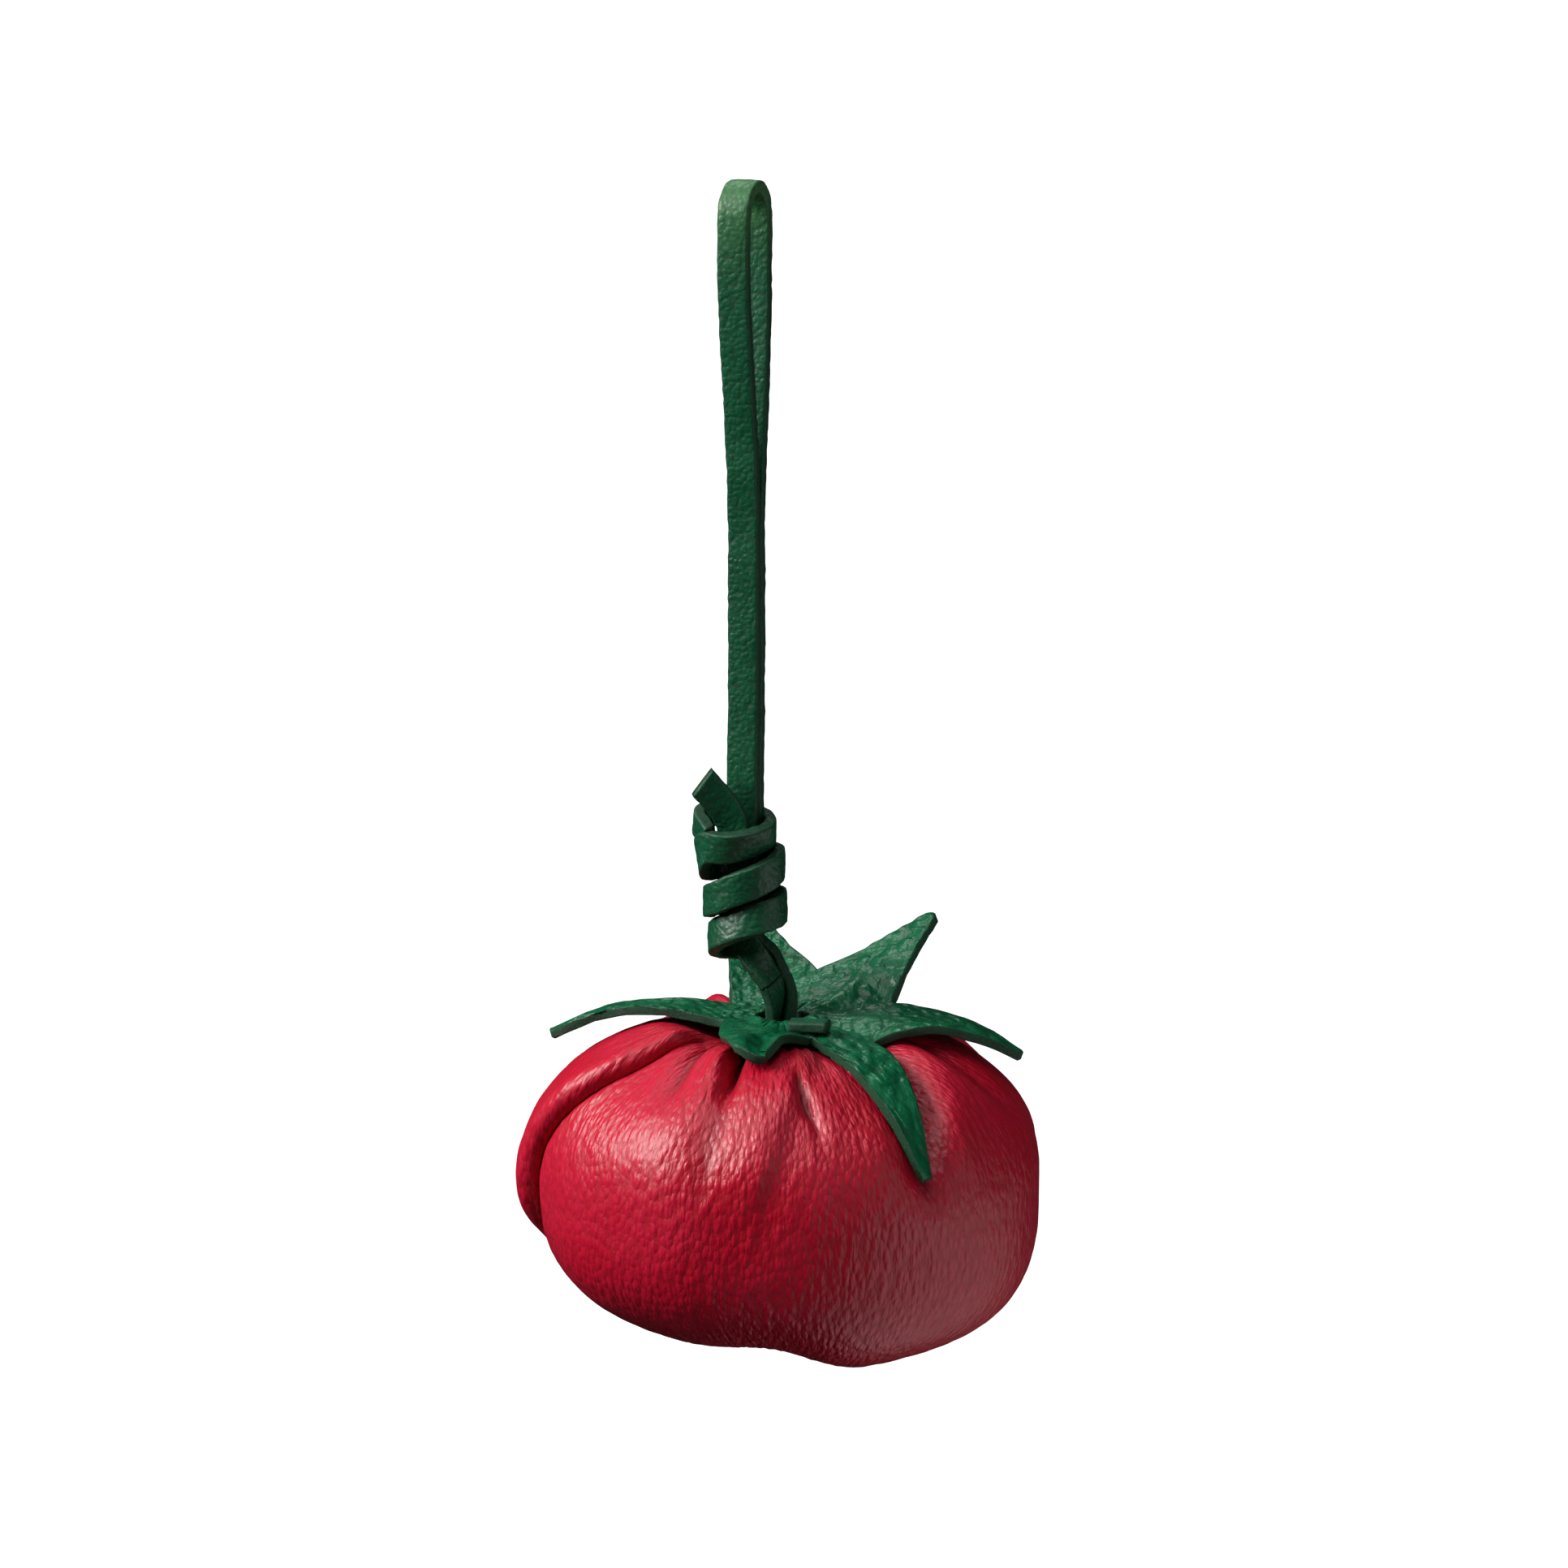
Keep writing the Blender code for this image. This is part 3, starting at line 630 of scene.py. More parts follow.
def lookDown(tree, x, y, s):
    # Height of what lies below a spot, and the room over it that half the star's sheet and its air take.
    hit = tree.ray_cast(Vector((x, y, s["lookFrom"])), Vector((0, 0, -1)))
    if hit[0] is None:
        return None, 0
    return hit[0].z, (s["thick"] / 2 + s["clear"]) / max(s["steepest"], abs(hit[1].z))


def spreadOut(need, passes, keep):
    # The least smooth amount that is everywhere at least what is needed.
    need = np.clip(need, 0, None)
    amount = need
    for _ in range(passes):
        spread = np.maximum.reduce([amount, np.roll(amount, 1, 1) * keep, np.roll(amount, -1, 1) * keep])
        spread[1:] = np.maximum(spread[1:], amount[:-1] * keep)
        spread[:-1] = np.maximum(spread[:-1], amount[1:] * keep)
        amount = spread
    for _ in range(8):
        padded = np.pad(amount, ((1, 1), (0, 0)), mode="edge")
        blur = (padded[:-2] + padded[2:] + np.roll(amount, 1, 1) + np.roll(amount, -1, 1) + amount * 2) / 6
        amount = np.maximum(blur, need)
    return amount


def pressUnder(skin, sheet, s):
    # The skin gives way where it would stand through the star.
    tree = gridTree(sheet)
    need = np.zeros(skin.shape[:2])
    for i in range(need.shape[0]):
        if skin[i, :, 2].mean() < s["lowest"]:
            break
        for k in range(need.shape[1]):
            x, y, z = skin[i, k]
            over, room = lookDown(tree, x, y, s)
            if over is not None:
                need[i, k] = z - (over - room)
    skin = skin.copy()
    skin[..., 2] -= spreadOut(np.minimum(need, s["give"]), 12, 0.9)
    return skin


def pleatPush(folds, mounds, latDeg, turn, radius):
    # How far pleats and swellings move the leather outwards, and how much painted shade each spot gets for lying in a
    # crease.
    push, crease = np.zeros_like(radius), np.zeros_like(radius)
    nearNeck = ease((latDeg - 74) / 6)
    for path, depth, half, lip, shoulders in folds:
        lats = [p[0] for p in path]
        middle = np.interp(latDeg, lats, [p[1] for p in path])
        apart = (turn - middle + 180) % 360 - 180
        mm = np.radians(apart) * radius * 1000
        fade = ease((latDeg - lats[0] + 13) / 26) * (1 - 0.6 * nearNeck)
        if lats[-1] < 68:
            fade = fade * (1 - ease((latDeg - lats[-1] + 2) / 12))
        half = half * (0.55 + 0.45 * np.clip(radius / 0.028, 0, 1))
        valley = np.exp(-np.abs((mm - 0.5 * half * (lip > 0)) / half) ** 1.6)
        edge = np.exp(np.minimum(mm, 0) / 7.0) / (1 + np.exp(np.clip((mm + 0.2 * half) / (0.28 * half), -40, 40)))
        shoulder = np.exp(-((np.abs(mm) - 2.0 * half) / (1.2 * half)) ** 2)
        push += fade * 0.001 * (lip * edge + shoulders * shoulder - depth * valley)
        # Painted shade: darker in the middle of each pleat's valley, more for deeper pleats.
        crease = np.maximum(crease, fade * np.exp(-(mm / (half * 0.55)) ** 2) * min(1, depth / 1.5))
    for lat, around, high, spread in mounds:
        apart = (turn - around + 180) % 360 - 180
        wide = np.hypot((latDeg - lat), apart * np.cos(np.radians(lat)))
        push += high * 0.001 * np.exp(-((wide / spread) ** 2))
    return push, crease


def makeSkin(t, r, folds, mounds, cover):
    along = columnPlan(t)  # mm towards the back from the groove
    latitude = np.radians(np.linspace(80.5, -88.6, t["rows"]))
    latGrid, alongGrid = np.meshgrid(latitude, along, indexing="ij")
    latDeg = np.degrees(latGrid)

    # Columns follow the groove, and stand still far from it.
    grooveLat, grooveAngle = np.array(r["groove"]).T
    shift = np.radians(np.interp(np.degrees(latitude), grooveLat, grooveAngle) - r["home"])
    shift = np.convolve(np.pad(shift, 6, mode="edge"), np.ones(13) / 13, mode="valid")
    near = ease(1 - np.abs(alongGrid / t["spread"]) / math.radians(r["reach"]))
    flatAngle = math.radians(r["home"]) - alongGrid / t["spread"] + shift[:, None] * near

    # The roll's section, at the strength it has at each height.
    start, whole = r["fromLatitude"]
    fading, end = r["toLatitude"]
    strength = ease((latDeg - start) / (whole - start)) * (1 - ease((latDeg - fading) / (end - fading)))
    section = throughPoints(r["section"], 400)
    sideways = np.interp(alongGrid, section[:, 0], section[:, 1]) - alongGrid
    sideways = np.where((alongGrid < section[0, 0]) | (alongGrid > section[-1, 0]), 0, sideways)
    outwards = np.interp(alongGrid, section[:, 0], section[:, 2], left=0, right=0)
    base = bodyAt(latGrid, flatAngle, t)
    radius = np.hypot(base[..., 0] - hubX, base[..., 1])
    scale = np.clip(radius / 0.030, 0.3, 1)
    angle = flatAngle - strength * sideways * 0.001 * scale / np.maximum(radius, 0.008)
    base = bodyAt(latGrid, angle, t)
    radius = np.hypot(base[..., 0] - hubX, base[..., 1])
    push, crease = pleatPush(folds, mounds, latDeg, np.degrees(angle) % 360, radius)
    push += strength * outwards * 0.001 * (0.7 + 0.3 * scale)

    # Uneven stuffing, and fine gathers that run from the neck.
    push += 0.00035 * ripple(base, 0.026, 3) * ease((80 - latDeg) / 20)
    push += 0.00016 * np.sin(angle * 37 + 2.2 * np.sin(angle * 5)) * ease((latDeg - 38) / 40)
    fineWay = np.stack((np.cos(flatAngle) * 0.03, np.sin(flatAngle) * 0.03, latGrid * 0.010), axis=-1)
    push += 0.00005 * ripple(fineWay, 0.0021, 41) + 0.00004 * ripple(fineWay, 0.0012, 42)
    # Painted shade along the roll's groove too.
    crease = np.maximum(crease, strength * np.exp(-((alongGrid - 0.7) / 1.1) ** 2))
    skin = base + bodyNormal(latGrid, angle, t) * push[..., None]
    _, flat, height = cover
    sheet = np.stack((hubX + flat[..., 0], flat[..., 1], star["level"] + height), axis=-1)
    skin = pressUnder(skin, sheet, star)

    # Neck, groove for the thread, base hole, and the inner wall.
    cosA, sinA = np.cos(angle[0]), np.sin(angle[0])

    def ringAt(radiusHere, z, wobble=0.0):
        r_ = radiusHere + wobble * np.sin(angle[0] * 14)
        return np.stack((hubX + r_ * cosA, r_ * sinA, np.full_like(cosA, z)), axis=-1)

    wall, neck, round_ = t["wall"], t["neckRadius"], 0.0003
    top, floor = place["neckTop"], place["neckFloor"]
    above = [
        ringAt(neck - wall, top - round_),
        ringAt(neck - wall * 0.75, top, 0.00008),
        ringAt(neck - wall * 0.25, top, 0.00012),
        ringAt(neck, top - round_, 0.00012),
        ringAt(neck, (top + floor) / 2),
        ringAt(neck, floor + round_),
        ringAt(neck + round_, floor),
        ringAt(t["grooveRadius"] - round_, floor),
        ringAt(t["grooveRadius"], floor + 0.0004),
        ringAt(t["grooveRadius"] + 0.0001, (floor + skin[0, :, 2].mean()) / 2),
    ]
    innerLat = np.radians(np.linspace(-86, 74, 30))
    innerGrid, innerAngle = np.meshgrid(innerLat, angle[len(latitude) // 2], indexing="ij")
    inner = bodyAt(innerGrid, innerAngle, t, inset=0.0031)
    inner[..., 2] -= 0.0012 * ease((np.degrees(innerGrid) - 30) / 30)
    under = floor - wall
    inside = [
        ringAt(t["baseHole"], skin[-1, :, 2].mean() + 0.0006),
        ringAt(t["baseHole"], inner[0, :, 2].mean()),
        *inner,
        ringAt(t["grooveRadius"] + 0.0013, under),
        ringAt(neck - wall, under),
        ringAt(neck - wall, (under + top) / 2),
    ]

    run = np.concatenate(([0], np.cumsum(np.linalg.norm(np.diff(base, axis=0), axis=2).mean(axis=1))))
    runGrid = np.broadcast_to(run[:, None], radius.shape)
    grain = np.stack((np.cos(flatAngle) * 0.034, np.sin(flatAngle) * 0.034, runGrid), axis=-1)
    grain = np.pad(grain, ((len(above), len(inside)), (0, 0), (0, 0)), mode="edge")
    crease = np.pad(crease, ((len(above), len(inside)), (0, 0)))
    rows = np.array([*above, *skin, *inside])
    return meshFromRows("tomatoSkin", rows, meet=True, marks={"grain": grain, "crease": crease})


starPlan = starSheet(sepals, notches, star)
tomatoSkin = makeSkin(tomato, roll, pleats, swellings, starPlan)
print("tomato skin", len(tomatoSkin.data.polygons))

def makeCalyx(plan, s, skin):
    outline, flat, height = plan
    height = height.copy()

    # Lift the sheet clear of the skin, softly.
    body = pieceTree(skin)
    need = np.full_like(height, -1)
    for i in range(height.shape[0]):
        for k in range(height.shape[1]):
            below, room = lookDown(body, hubX + flat[i, k, 0], flat[i, k, 1], s)
            if below is not None:
                need[i, k] = below + room - s["level"] - height[i, k]
    lift = spreadOut(need, 6, 0.9)
    height += lift
    middle = np.stack((hubX + flat[..., 0], flat[..., 1], s["level"] + height), axis=-1)
    normal = gridNormals(middle)
    normal *= np.sign(normal[..., 2:3])
    half = s["thick"] / 2
    upper, lower = middle + normal * half, middle - normal * half
    rimOut = unit(np.stack((outline[:, 0], outline[:, 1], 0 * outline[:, 0]), axis=-1))
    rough = 0.00007 * ripple(np.concatenate((outline, outline[:, :1] * 0), axis=1), 0.0006, 55)
    rim = middle[-1] + rimOut * (0.00012 + rough)[:, None]
    outer = [rim + normal[-1] * half * share for share in (0.8, 0.3, -0.3, -0.8)]
    innerEdge = [middle[0] - rimOut * 0.00010 + normal[0] * half * share for share in (-0.8, 0.0, 0.8)]
    rows = np.array([*upper, *outer, *lower[::-1], *innerEdge])
    n = len(upper)
    cut = np.zeros(rows.shape[:2])
    cut[n - 1: n + 5] = 1
    cut[2 * n + 4:] = 1
    cut[0] = 1
    flatRows = np.concatenate((flat, np.repeat(flat[-1:], 4, 0), flat[::-1], np.repeat(flat[:1], 3, 0)))
    thick = s["thick"]
    side = np.concatenate((np.zeros(n), np.linspace(0, thick, 4), np.full(n, thick), np.linspace(thick, 0, 3)))
    grain = np.concatenate((flatRows, np.broadcast_to(side[:, None, None], flatRows.shape[:2] + (1,))), axis=2)
    piece = meshFromRows("calyxStar", rows, meet=True, marks={"grain": grain, "cut": cut})
    x, y = outline.T
    area = 0.5 * abs((x * np.roll(y, -1) - y * np.roll(x, -1)).sum()) - math.pi * s["hole"] ** 2
    return piece, float(area), np.ptp(outline, axis=0)


calyxStar, calyxArea, calyxSpan = makeCalyx(starPlan, star, tomatoSkin)
print("calyx", round(calyxArea * 1e4, 2), "square cm", calyxSpan.round(4))

laceTip = {
    "start": (0.0064, -0.0084),
    "turn": -12,
    "length": 0.0056,
    "width": 0.0036,
    "thick": 0.0014,
    "clear": 0.0001,
    "notAbove": -0.115,
}


def makeLaceTip(p, under):
    # The lace's cut end, lying on the calyx in front of the hole.
    turn = math.radians(p["turn"])
    run = np.array((math.cos(turn), math.sin(turn), 0))
    across = np.array((-run[1], run[0], 0))
    leather = pieceTree(under)
    level = -1.0
    for q in np.linspace(0, 1, 9):
        for w in np.linspace(-0.5, 0.5, 7):
            spot = np.array((*p["start"], 0)) + run * p["length"] * q + across * p["width"] * w
            below = lookDown(leather, spot[0], spot[1], star)[0]
            if below is not None and below < p["notAbove"]:
                level = max(level, below)
    z = level + p["thick"] / 2 + p["clear"]
    line = np.array([(*p["start"], z)]) + run * (np.linspace(0, 1, 14) * p["length"])[:, None]
    acrossWay, facing = lineFrames(line, across)
    return laceAlong("laceCutEnd", line, acrossWay, facing, p["width"], p["thick"], seed=61)


laceCutEnd = makeLaceTip(laceTip, calyxStar)
print("lace end")


def twistedThread(name, line, radius, plies=3, turnsPerMm=0.42, around=18, seed=0):
    # A thread laid up from a few plies, which show as ridges that wind round it.
    line = np.asarray(line, float)
    along = unit(np.gradient(line, axis=0))
    helper = np.array((0.31, 0.87, 0.38))
    side = unit(helper - along * (along @ helper)[:, None])
    other = np.cross(along, side)
    run = np.concatenate(([0], np.cumsum(np.linalg.norm(np.diff(line, axis=0), axis=1))))
    turn = np.linspace(0, 2 * math.pi, around, endpoint=False)
    rows, grain = [], []
    for i, centre in enumerate(line):
        lay = plies / 2 * (turn - run[i] * 1000 * turnsPerMm * 2 * math.pi / plies)
        r = radius * (0.84 + 0.16 * np.abs(np.cos(lay)))
        rows.append(centre + np.outer(r * np.cos(turn), side[i]) + np.outer(r * np.sin(turn), other[i]))
        grain.append(np.stack((np.cos(turn) * radius, np.sin(turn) * radius, np.full(around, run[i])), axis=1))
    return meshFromRows(name, rows, caps=True, marks={"grain": np.array(grain)})


neckThread = {
    "radius": 0.0004,
    "turns": 3,
    "pitch": 0.00095,
    "gap": 0.0003,
    "knotUnder": 0.0006,  # how far the base knot hangs below the dimple
    "knotScale": 0.00038,
}


def overhand(count):
    # The closed run of an overhand knot, six across.
    t = np.linspace(0, 2 * math.pi, count)
    return np.stack((np.sin(t) + 2 * np.sin(2 * t), np.cos(t) - 2 * np.cos(2 * t), -np.sin(3 * t)), axis=1)


def makeThreads(n):
    angle = np.linspace(0, 2 * math.pi * n["turns"], 300)
    radius = tomato["neckRadius"] + n["radius"] + n["gap"]
    top = place["neckTop"] - n["radius"] - n["gap"]
    down = top - n["pitch"] * angle / (2 * math.pi)
    coil = np.stack((hubX + radius * np.cos(angle), radius * np.sin(angle), down), axis=1)
    wound = twistedThread("gatherThread", coil, n["radius"])
    # The tuft thread ends in its knot, close under the dimple.
    under = np.radians(np.full(8, -88.6))
    dimpleZ = float(bodyAt(under, np.linspace(0, 2 * math.pi, 8), tomato)[:, 2].mean())
    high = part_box("tuft_thread")[1]
    tuftLine = np.linspace((hubX, 0, dimpleZ - n["knotUnder"]), (hubX, 0, high[2]), 90)
    tuft = twistedThread("tuftThread", tuftLine, n["radius"])
    lo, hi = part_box("base_thread_knot")
    middle = (np.array(lo) + np.array(hi)) / 2
    middle[2] = dimpleZ - n["knotUnder"]
    knot = twistedThread("baseThreadKnot", middle + overhand(150) * n["knotScale"], n["radius"] * 0.95)
    return wound, tuft, knot


gatherThread, tuftThread, baseKnot = makeThreads(neckThread)


stopper = {"scale": 0.0013, "width": 0.0021, "thick": 0.0014}


def makeStopper(k):
    # The knot in the lace's end that carries the tomato, inside the fill.
    lo, hi = (np.array(v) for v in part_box("stopper_knot"))
    line = ((lo + hi) / 2 + overhand(160) * k["scale"])[:-1]
    across, facing = lineFrames(line, (0.2, 0.1, 1))
    return laceAlong("stopperKnot", line, across, facing, k["width"], k["thick"], seed=71)


stopperKnot = makeStopper(stopper)

fill = {"inset": 0.0046, "pocketGap": 0.0012, "tufts": 0.0004, "threadHole": 0.0009}


def makeFill(f, t):
    # One body of fibre, with a pocket for the stopper knot and a hole for the tuft thread.
    count = 120
    angle = np.linspace(0, 2 * math.pi, count, endpoint=False)
    lo, hi = (np.array(v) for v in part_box("stopper_knot"))
    pocket = (hi[0] - lo[0]) / 2 + f["pocketGap"]
    floor, under = lo[2] - 0.0003, place["neckFloor"] - 0.0024

    def ringAt(radius, z):
        return np.stack((hubX + radius * np.cos(angle), radius * np.sin(angle), np.full(count, z)), axis=-1)

    latitude = np.radians(np.linspace(66, -82, 60))
    grid = np.meshgrid(latitude, angle, indexing="ij")
    body = bodyAt(grid[0], grid[1], t, inset=f["inset"])
    body[..., 2] = np.minimum(body[..., 2], under)
    lumps = f["tufts"] * (ripple(body, 0.006, 81) + ripple(body, 0.0024, 82) * 0.6)
    body = body + gridNormals(body) * lumps[..., None] * ease((-body[..., 2:3] + under) / 0.003)
    base = ringAt(f["threadHole"], body[-1, :, 2].mean())
    rows = [ringAt(f["threadHole"], floor), ringAt(pocket, floor), ringAt(pocket, under), *body, base]
    return meshFromRows("fibreFill", rows, meet=True, marks={"grain": np.array(rows)})


fibreFill = makeFill(fill, tomato)
print("inside")


class Wire:  # an output socket that sums can be written on
    def __init__(self, finish, socket):
        self.finish, self.socket = finish, socket

    def sum(self, operation, other, turned=False):
        pair = (other, self) if turned else (self, other)
        return self.finish.node("ShaderNodeMath", {"operation": operation}, {0: pair[0], 1: pair[1]})

    def __add__(self, other):
        return self.sum("ADD", other)

    def __radd__(self, other):
        return self.sum("ADD", other, True)

    def __sub__(self, other):
        return self.sum("SUBTRACT", other)

    def __rsub__(self, other):
        return self.sum("SUBTRACT", other, True)

    def __mul__(self, other):
        return self.sum("MULTIPLY", other)

    def __rmul__(self, other):
        return self.sum("MULTIPLY", other, True)


class Finish:  # one material and the nodes in it
    def __init__(self, name, roughness=0.5, **constants):
        self.material = bpy.data.materials.new(name)
        self.material.use_nodes = True
        self.tree = self.material.node_tree
        self.shader = self.tree.nodes["Principled BSDF"]
        self.shader.inputs["Roughness"].default_value = roughness
        for socket, value in constants.items():
            self.shader.inputs[socket.replace("_", " ")].default_value = value

    def node(self, kind, settings=None, sockets=None, out=0):
        made = self.tree.nodes.new(kind)
        for key, value in (settings or {}).items():
            if key == "stops":
                ramp = made.color_ramp
                while len(ramp.elements) < len(value):
                    ramp.elements.new(0.5)
                for element, (position, colour) in zip(ramp.elements, value):
                    element.position, element.color = position, colour
            else:
                setattr(made, key, value)
        for key, value in (sockets or {}).items():
            if isinstance(value, Wire):
                self.tree.links.new(value.socket, made.inputs[key])
            else:
                made.inputs[key].default_value = value
        return Wire(self, made.outputs[out])

    def set(self, socket, wire):
        self.tree.links.new(wire.socket, self.shader.inputs[socket])

    def attribute(self, name, vector=False):
        return self.node("ShaderNodeAttribute", {"attribute_name": name}, out=1 if vector else 2)

    def stretch(self, vector, scale):
        return self.node("ShaderNodeVectorMath", {"operation": "MULTIPLY"}, {0: vector, 1: scale})

    def noise(self, vector, scale, detail=2.0, rough=0.5, out=0):
        sockets = {"Vector": vector, "Scale": scale, "Detail": detail, "Roughness": rough}
        return self.node("ShaderNodeTexNoise", {}, sockets, out)

    def cells(self, vector, scale, feature="F1"):
        return self.node("ShaderNodeTexVoronoi", {"feature": feature}, {"Vector": vector, "Scale": scale})

    def limits(self, value, low, high, toLow=0.0, toHigh=1.0):
        return self.node("ShaderNodeMapRange", {"clamp": True}, {0: value, 1: low, 2: high, 3: toLow, 4: toHigh})

    def mix(self, share, first, second):
        return self.node("ShaderNodeMix", {"data_type": "RGBA"}, {0: share, 6: first, 7: second}, out=2)

    def bump(self, height, depth, strength=1.0):
        made = self.node("ShaderNodeBump", {}, {"Height": height, "Distance": depth, "Strength": strength})
        self.set("Normal", made)


red = {
    "deep": (0.34, 0.0006, 0.006, 1),
    "plain": (0.54, 0.0025, 0.026, 1),
    "worn": (0.58, 0.008, 0.042, 1),
    # painted shade colour for the creases
    "crease": (0.10, 0.0004, 0.003, 1),
    "cell": 1150.0,  # grain cells to the metre
    "roughness": (0.33, 0.46),
}


def redLeather(c):
    f = Finish("red_leather", Specular_IOR_Level=0.5, Coat_Weight=0.10, Coat_Roughness=0.26)
    grain = f.attribute("grain", vector=True)
    warp = f.noise(grain, 320.0, 2.0)
    long = f.stretch(grain, (1.0, 1.0, 0.50))
    cell = f.cells(long, c["cell"])
    fineCell = f.cells(long, c["cell"] * 2.3)
    wrinkles = f.noise(f.stretch(grain, (1.0, 1.0, 0.16)), 1500.0, 3.0, 0.6)
    patches = f.noise(grain, 62.0, 3.0, 0.55)
    pores = f.limits(cell, 0.15, 0.75)
    height = (1 - pores) * 0.55 + (1 - fineCell) * 0.18 + wrinkles * 0.5 + warp * 0.25
    crease = f.attribute("crease")
    base = f.mix(f.limits(patches, 0.35, 0.68), c["plain"], c["worn"])
    base = f.mix(pores * 0.45, base, c["deep"])
    # Painted shade: the colour darkens in the pleats' creases and the roll's groove.
    base = f.mix(crease * 0.8, base, c["crease"])
    f.set("Base Color", base)
    f.set("Roughness", f.limits(patches * 0.6 + pores * 0.4, 0.2, 0.75, *c["roughness"]))
    f.bump(height, 0.00024, 1.0)
    return f.material


green = {
    "plain": (0.003, 0.118, 0.046, 1),
    "deep": (0.0012, 0.056, 0.021, 1),
    "worn": (0.008, 0.165, 0.068, 1),
    "cut": (0.0025, 0.070, 0.026, 1),
    # painted highlight colour where the strap bends over the hook, as if lit from above
    "fold": (0.075, 0.230, 0.075, 1),  # where the strap bends over the hook
    "cell": 900.0,
}


def greenLeather(name, c, gloss=(0.34, 0.52), depth=0.00022, cell=1.0, shade_scale=1.0):
    f = Finish(name, Specular_IOR_Level=0.42, Coat_Weight=0.08, Coat_Roughness=0.20)
    # The tones are scaled by the last argument; below 1 it is painted shade, a darker copy of the same green.
    tone = {k: tuple(v * shade_scale for v in c[k][:3]) + (1,) for k in ("plain", "deep", "worn", "cut")}
    grain = f.attribute("grain", vector=True)
    drift = f.stretch(f.noise(grain, 420.0, out=1), (0.0009, 0.0009, 0.0009))
    moved = f.node("ShaderNodeVectorMath", {"operation": "ADD"}, {0: grain, 1: drift})
    pebble = f.cells(moved, c["cell"] * cell, "SMOOTH_F1")
    small = f.cells(moved, c["cell"] * cell * 2.6)
    patches = f.noise(grain, 120.0, 3.0)
    fibre = f.noise(f.stretch(grain, (1.0, 1.0, 3.0)), 2600.0, 4.0, 0.7)
    cut = f.attribute("cut")
    valley = f.limits(pebble, 0.25, 0.75)
    face = (1 - valley) * 0.8 + (1 - small) * 0.15 + patches * 0.2
    height = face * (1 - cut) + fibre * cut
    base = f.mix(f.limits(patches, 0.38, 0.66), tone["plain"], tone["worn"])
    base = f.mix(valley * 0.6, base, tone["deep"])
    base = f.mix(cut * f.limits(fibre, 0.3, 0.6, 0.55, 1.0), base, tone["cut"])
    # Painted highlight: where the strap bends over the hook the colour is mixed paler, as if lit from above; the
    # pebbles' valleys take less of it.
    base = f.mix(f.attribute("worn") * (1 - valley * 0.6) * 0.7, base, c["fold"])
    f.set("Base Color", base)
    f.set("Roughness", f.limits(patches * 0.5 + valley * 0.5, 0.2, 0.8, *gloss) + cut * 0.18)
    f.bump(height, depth, 0.9)
    return f.material


thread = {
    "deep": (0.16, 0.006, 0.010, 1),
    "plain": (0.34, 0.020, 0.032, 1),
    "roughness": (0.45, 0.7),
    "stretch": (1.0, 1.0, 0.25),
    "hairs": (9000.0, 3.0, 0.5),
    "bump": (0.00006, 0.8),
}
fibre = {
    "deep": (0.60, 0.57, 0.50, 1),
    "plain": (0.86, 0.84, 0.78, 1),
    "roughness": (0.85, 1.0),
    "stretch": (1.0, 0.3, 1.0),
    "hairs": (2400.0, 5.0, 0.75),
    "bump": (0.0004, 1.0),
}


def hairyFinish(name, c, **constants):
    f = Finish(name, **constants)
    hairs = f.noise(f.stretch(f.attribute("grain", vector=True), c["stretch"]), *c["hairs"])
    f.set("Base Color", f.mix(hairs, c["deep"], c["plain"]))
    f.set("Roughness", f.limits(hairs, 0.2, 0.8, *c["roughness"]))
    f.bump(hairs, *c["bump"])
    return f.material


def wear(pieces, finish):
    for piece in pieces:
        piece.data.materials.clear()
        piece.data.materials.append(finish)


# Painted shade: the laces wear the calyx's green darkened to 0.62, since they hang in less light.
laceFinish = greenLeather("lace_leather", green, gloss=(0.38, 0.56), depth=0.00012, cell=1.7, shade_scale=0.62)
starFinish = greenLeather("calyx_leather", green, gloss=(0.24, 0.38), depth=0.00045, cell=0.74)
wear([tomatoSkin], redLeather(red))
laces = [strapLace, keeperWraps, keeperTail, mouthFront, mouthBack, holeFront, holeBack, laceCutEnd, stopperKnot]
wear(laces, laceFinish)
wear([calyxStar], starFinish)
threadLook = hairyFinish("waxed_thread", thread, Specular_IOR_Level=0.5, Sheen_Weight=0.2, Sheen_Roughness=0.4)
fibreLook = hairyFinish("stuffing_fibre", fibre, Specular_IOR_Level=0.2, Sheen_Weight=0.5, Sheen_Roughness=0.6)
wear([gatherThread, tuftThread, baseKnot], threadLook)
wear([fibreFill], fibreLook)
print("materials")

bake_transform(strapLace)
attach(keeperWraps, "keeper")
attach(keeperTail, "keeper")
for piece in (mouthFront, mouthBack):
    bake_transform(piece)
for piece in (holeFront, holeBack):
    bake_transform(piece)
for piece in (tomatoSkin, calyxStar, laceCutEnd, gatherThread, tuftThread, baseKnot, stopperKnot, fibreFill):
    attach(piece, "tomato")
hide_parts("strap_loop", "strap_lower_front", "strap_lower_back")
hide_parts("keeper_wraps")
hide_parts("keeper_tail")
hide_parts("neck_lace_upper_front")
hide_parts("neck_lace_upper_back")
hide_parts("neck_lace_lower_front", "inner_lace_front")
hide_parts("neck_lace_lower_back", "inner_lace_back")
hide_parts("lace_cut_end")
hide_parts("stopper_knot")
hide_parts("calyx")
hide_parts("tomato_skin")
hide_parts("fibre_stuffing")
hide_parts("gather_thread")
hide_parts("tuft_thread")
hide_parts("base_thread_knot")

[tuple(p) for p in strapRoute[::4].tolist()] + [tuple(strapRoute[-1].tolist())]
print("pieces ride")

studio = {
    "floorZ": -0.40,
    "back": 1.7,
    "side": 2.2,
    "front": 2.2,
    "wall": 1.8,
    "curve": 0.6,
    "white": (0.60, 0.60, 0.60, 1),
    "glow": 1.1,
    "air": 0.010,
}


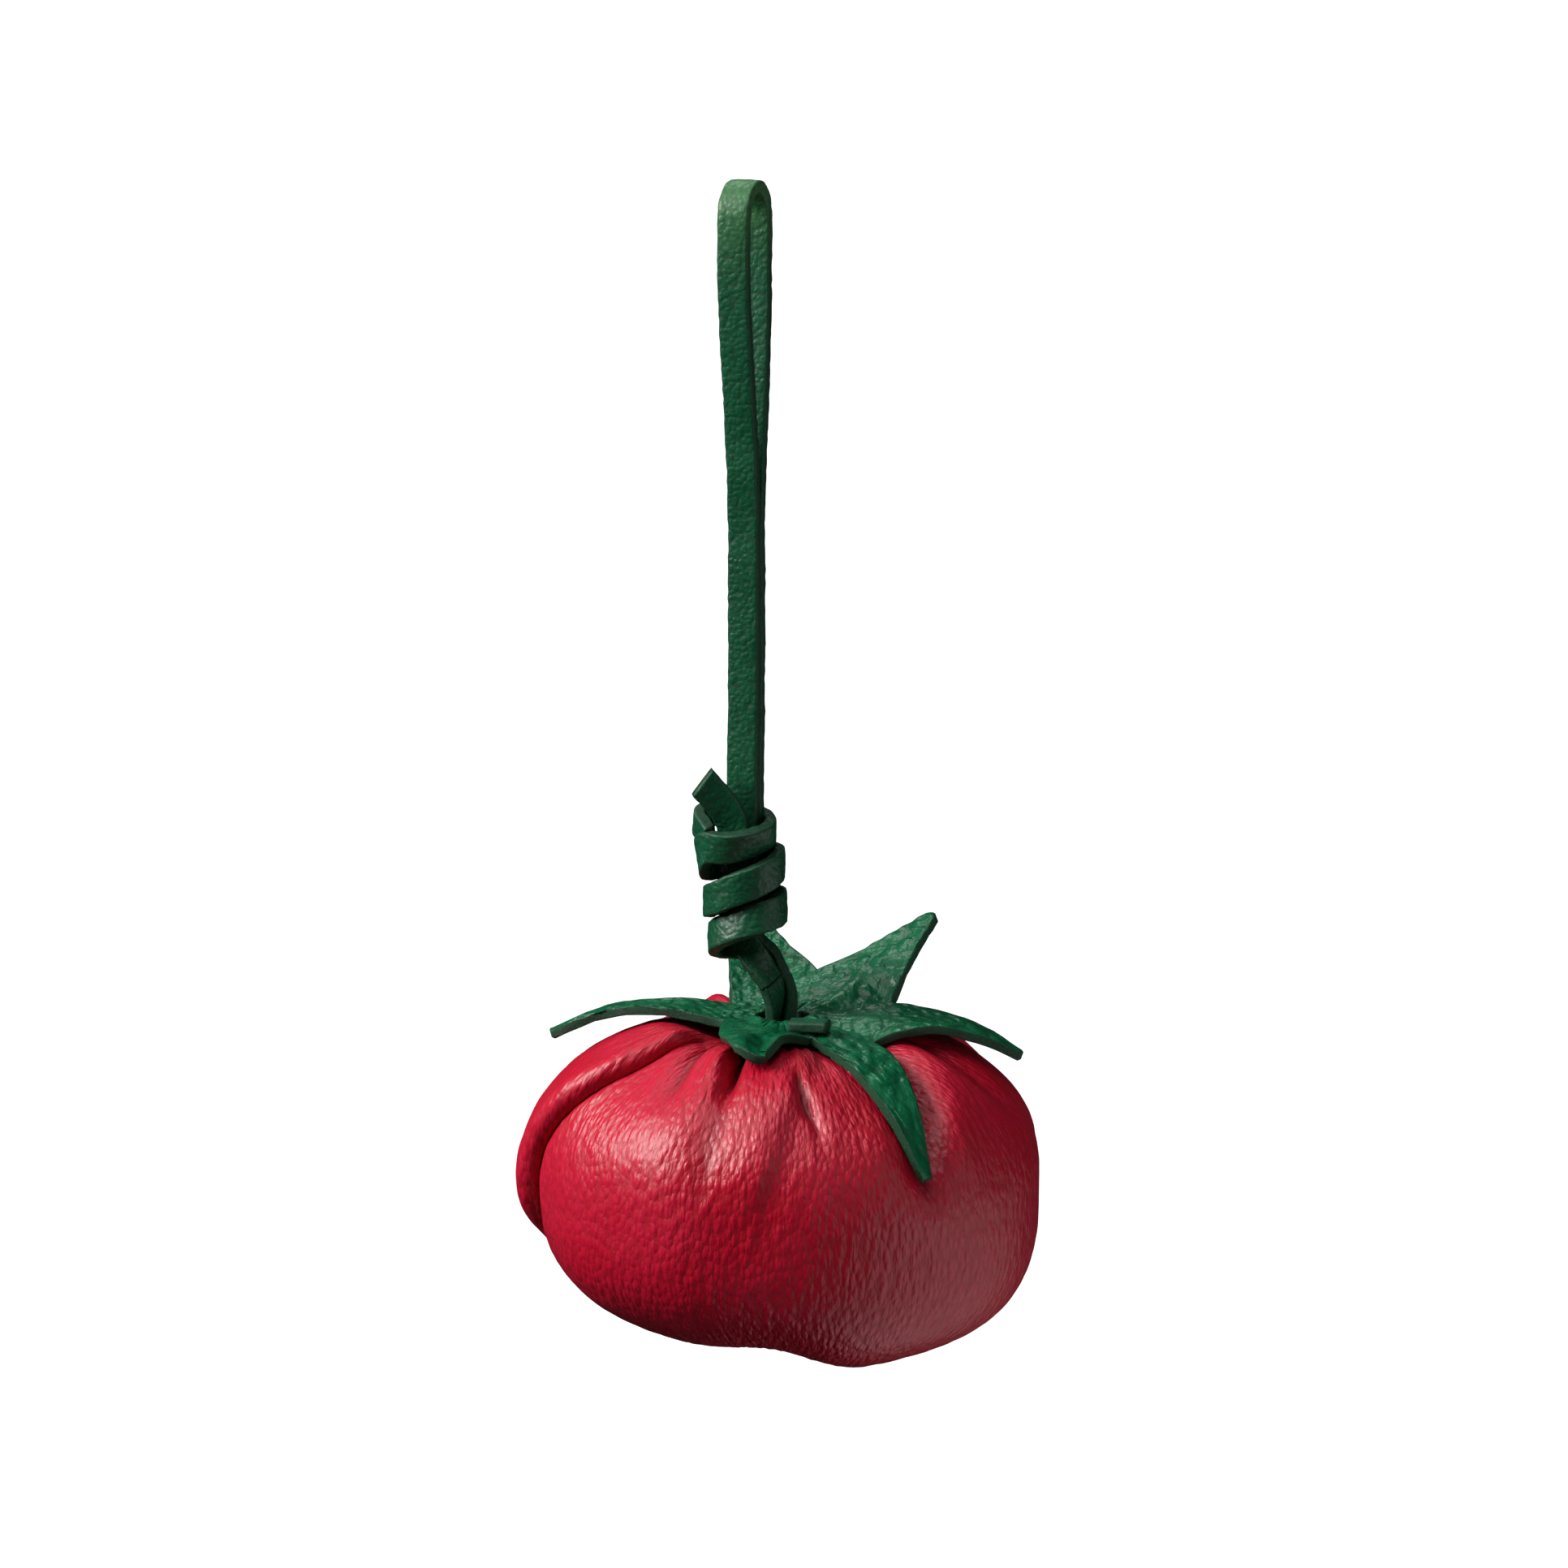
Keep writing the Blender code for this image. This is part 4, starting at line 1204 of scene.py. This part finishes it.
def pickEdges(piece, wanted):
    # Select the edges whose two ends are both wanted, and leave the piece in edit mode.
    bpy.ops.object.mode_set(mode="EDIT")
    bpy.ops.mesh.select_mode(type="EDGE")
    bpy.ops.mesh.select_all(action="DESELECT")
    bpy.ops.object.mode_set(mode="OBJECT")
    for edge in piece.data.edges:
        edge.select = all(wanted(piece.data.vertices[i].co) for i in edge.vertices)
    bpy.ops.object.mode_set(mode="EDIT")


def makeBackdrop(s):
    # A pale floor whose back edge is drawn up into a wall, with a wide curve between them.
    clearSelection()
    bpy.ops.mesh.primitive_plane_add(size=1, location=(0, (s["back"] - s["front"]) / 2, s["floorZ"]))
    paper = bpy.context.active_object
    paper.name = "paperSweep"
    paper.scale = (2 * s["side"], s["back"] + s["front"], 1)
    bpy.ops.object.transform_apply(location=True, rotation=True, scale=True)
    near = 0.01
    pickEdges(paper, lambda v: v.y > s["back"] - near)
    bpy.ops.mesh.extrude_region_move(TRANSFORM_OT_translate={"value": (0, 0, s["wall"])})
    pickEdges(paper, lambda v: v.y > s["back"] - near and v.z < s["floorZ"] + near)
    bpy.ops.mesh.bevel(offset=s["curve"], segments=24, profile=0.5)
    bpy.ops.object.mode_set(mode="OBJECT")
    paper.data.shade_smooth()
    f = Finish("paper", roughness=0.9, Specular_IOR_Level=0.1)
    f.shader.inputs["Base Color"].default_value = s["white"]
    f.shader.inputs["Emission Color"].default_value = (1, 1, 1, 1)
    f.shader.inputs["Emission Strength"].default_value = s["glow"]
    paper.data.materials.append(f.material)
    paper.visible_diffuse = paper.visible_glossy = False  # white to the camera, and throws no light of its own
    return paper


makeBackdrop(studio)

# Each light: place, aim, size in metres, power in watts, colour.
lights = {
    "key": ((-0.82, -0.18, 0.44), (0.0, 0.0, -0.12), (0.50, 0.50), 14.5, (1.0, 0.985, 0.97)),
    "top": ((-0.10, -0.30, 0.75), (0.0, 0.0, -0.12), (0.6, 0.6), 2.6, (1.0, 1.0, 1.0)),
    "fill": ((0.80, -0.45, -0.02), (0.0, 0.0, -0.14), (0.7, 0.9), 1.15, (1.0, 1.0, 1.0)),
    "behind": ((-0.10, 0.52, 0.60), (0.0, 0.0, -0.12), (0.35, 0.3), 0.9, (1.0, 1.0, 1.0)),
    "under": ((0.25, -0.05, -0.38), (0.01, 0.0, -0.15), (0.5, 0.5), 0.55, (1.0, 1.0, 1.0)),
}


def makeLights(rows):
    for name, (where, aim, size, power, colour) in rows.items():
        lamp = bpy.data.lights.new(name, "AREA")
        lamp.shape, lamp.size, lamp.size_y = "RECTANGLE", size[0], size[1]
        lamp.energy, lamp.color = power, colour
        holder = bpy.data.objects.new(name, lamp)
        holder.location = where
        holder.rotation_euler = (Vector(aim) - Vector(where)).to_track_quat("-Z", "Y").to_euler()
        bpy.context.scene.collection.objects.link(holder)
    world = bpy.data.worlds.new("air")
    world.use_nodes = True
    tree = world.node_tree
    tree.nodes["Background"].inputs["Color"].default_value = (1, 1, 1, 1)
    seen = tree.nodes.new("ShaderNodeLightPath")
    level = tree.nodes.new("ShaderNodeMapRange")  # white where it is seen, dim where it lights
    level.inputs["To Min"].default_value = studio["air"]
    tree.links.new(seen.outputs["Is Camera Ray"], level.inputs["Value"])
    tree.links.new(level.outputs["Result"], tree.nodes["Background"].inputs["Strength"])
    bpy.context.scene.world = world
    bpy.context.scene.view_settings.view_transform = "Standard"


makeLights(lights)
print("studio")
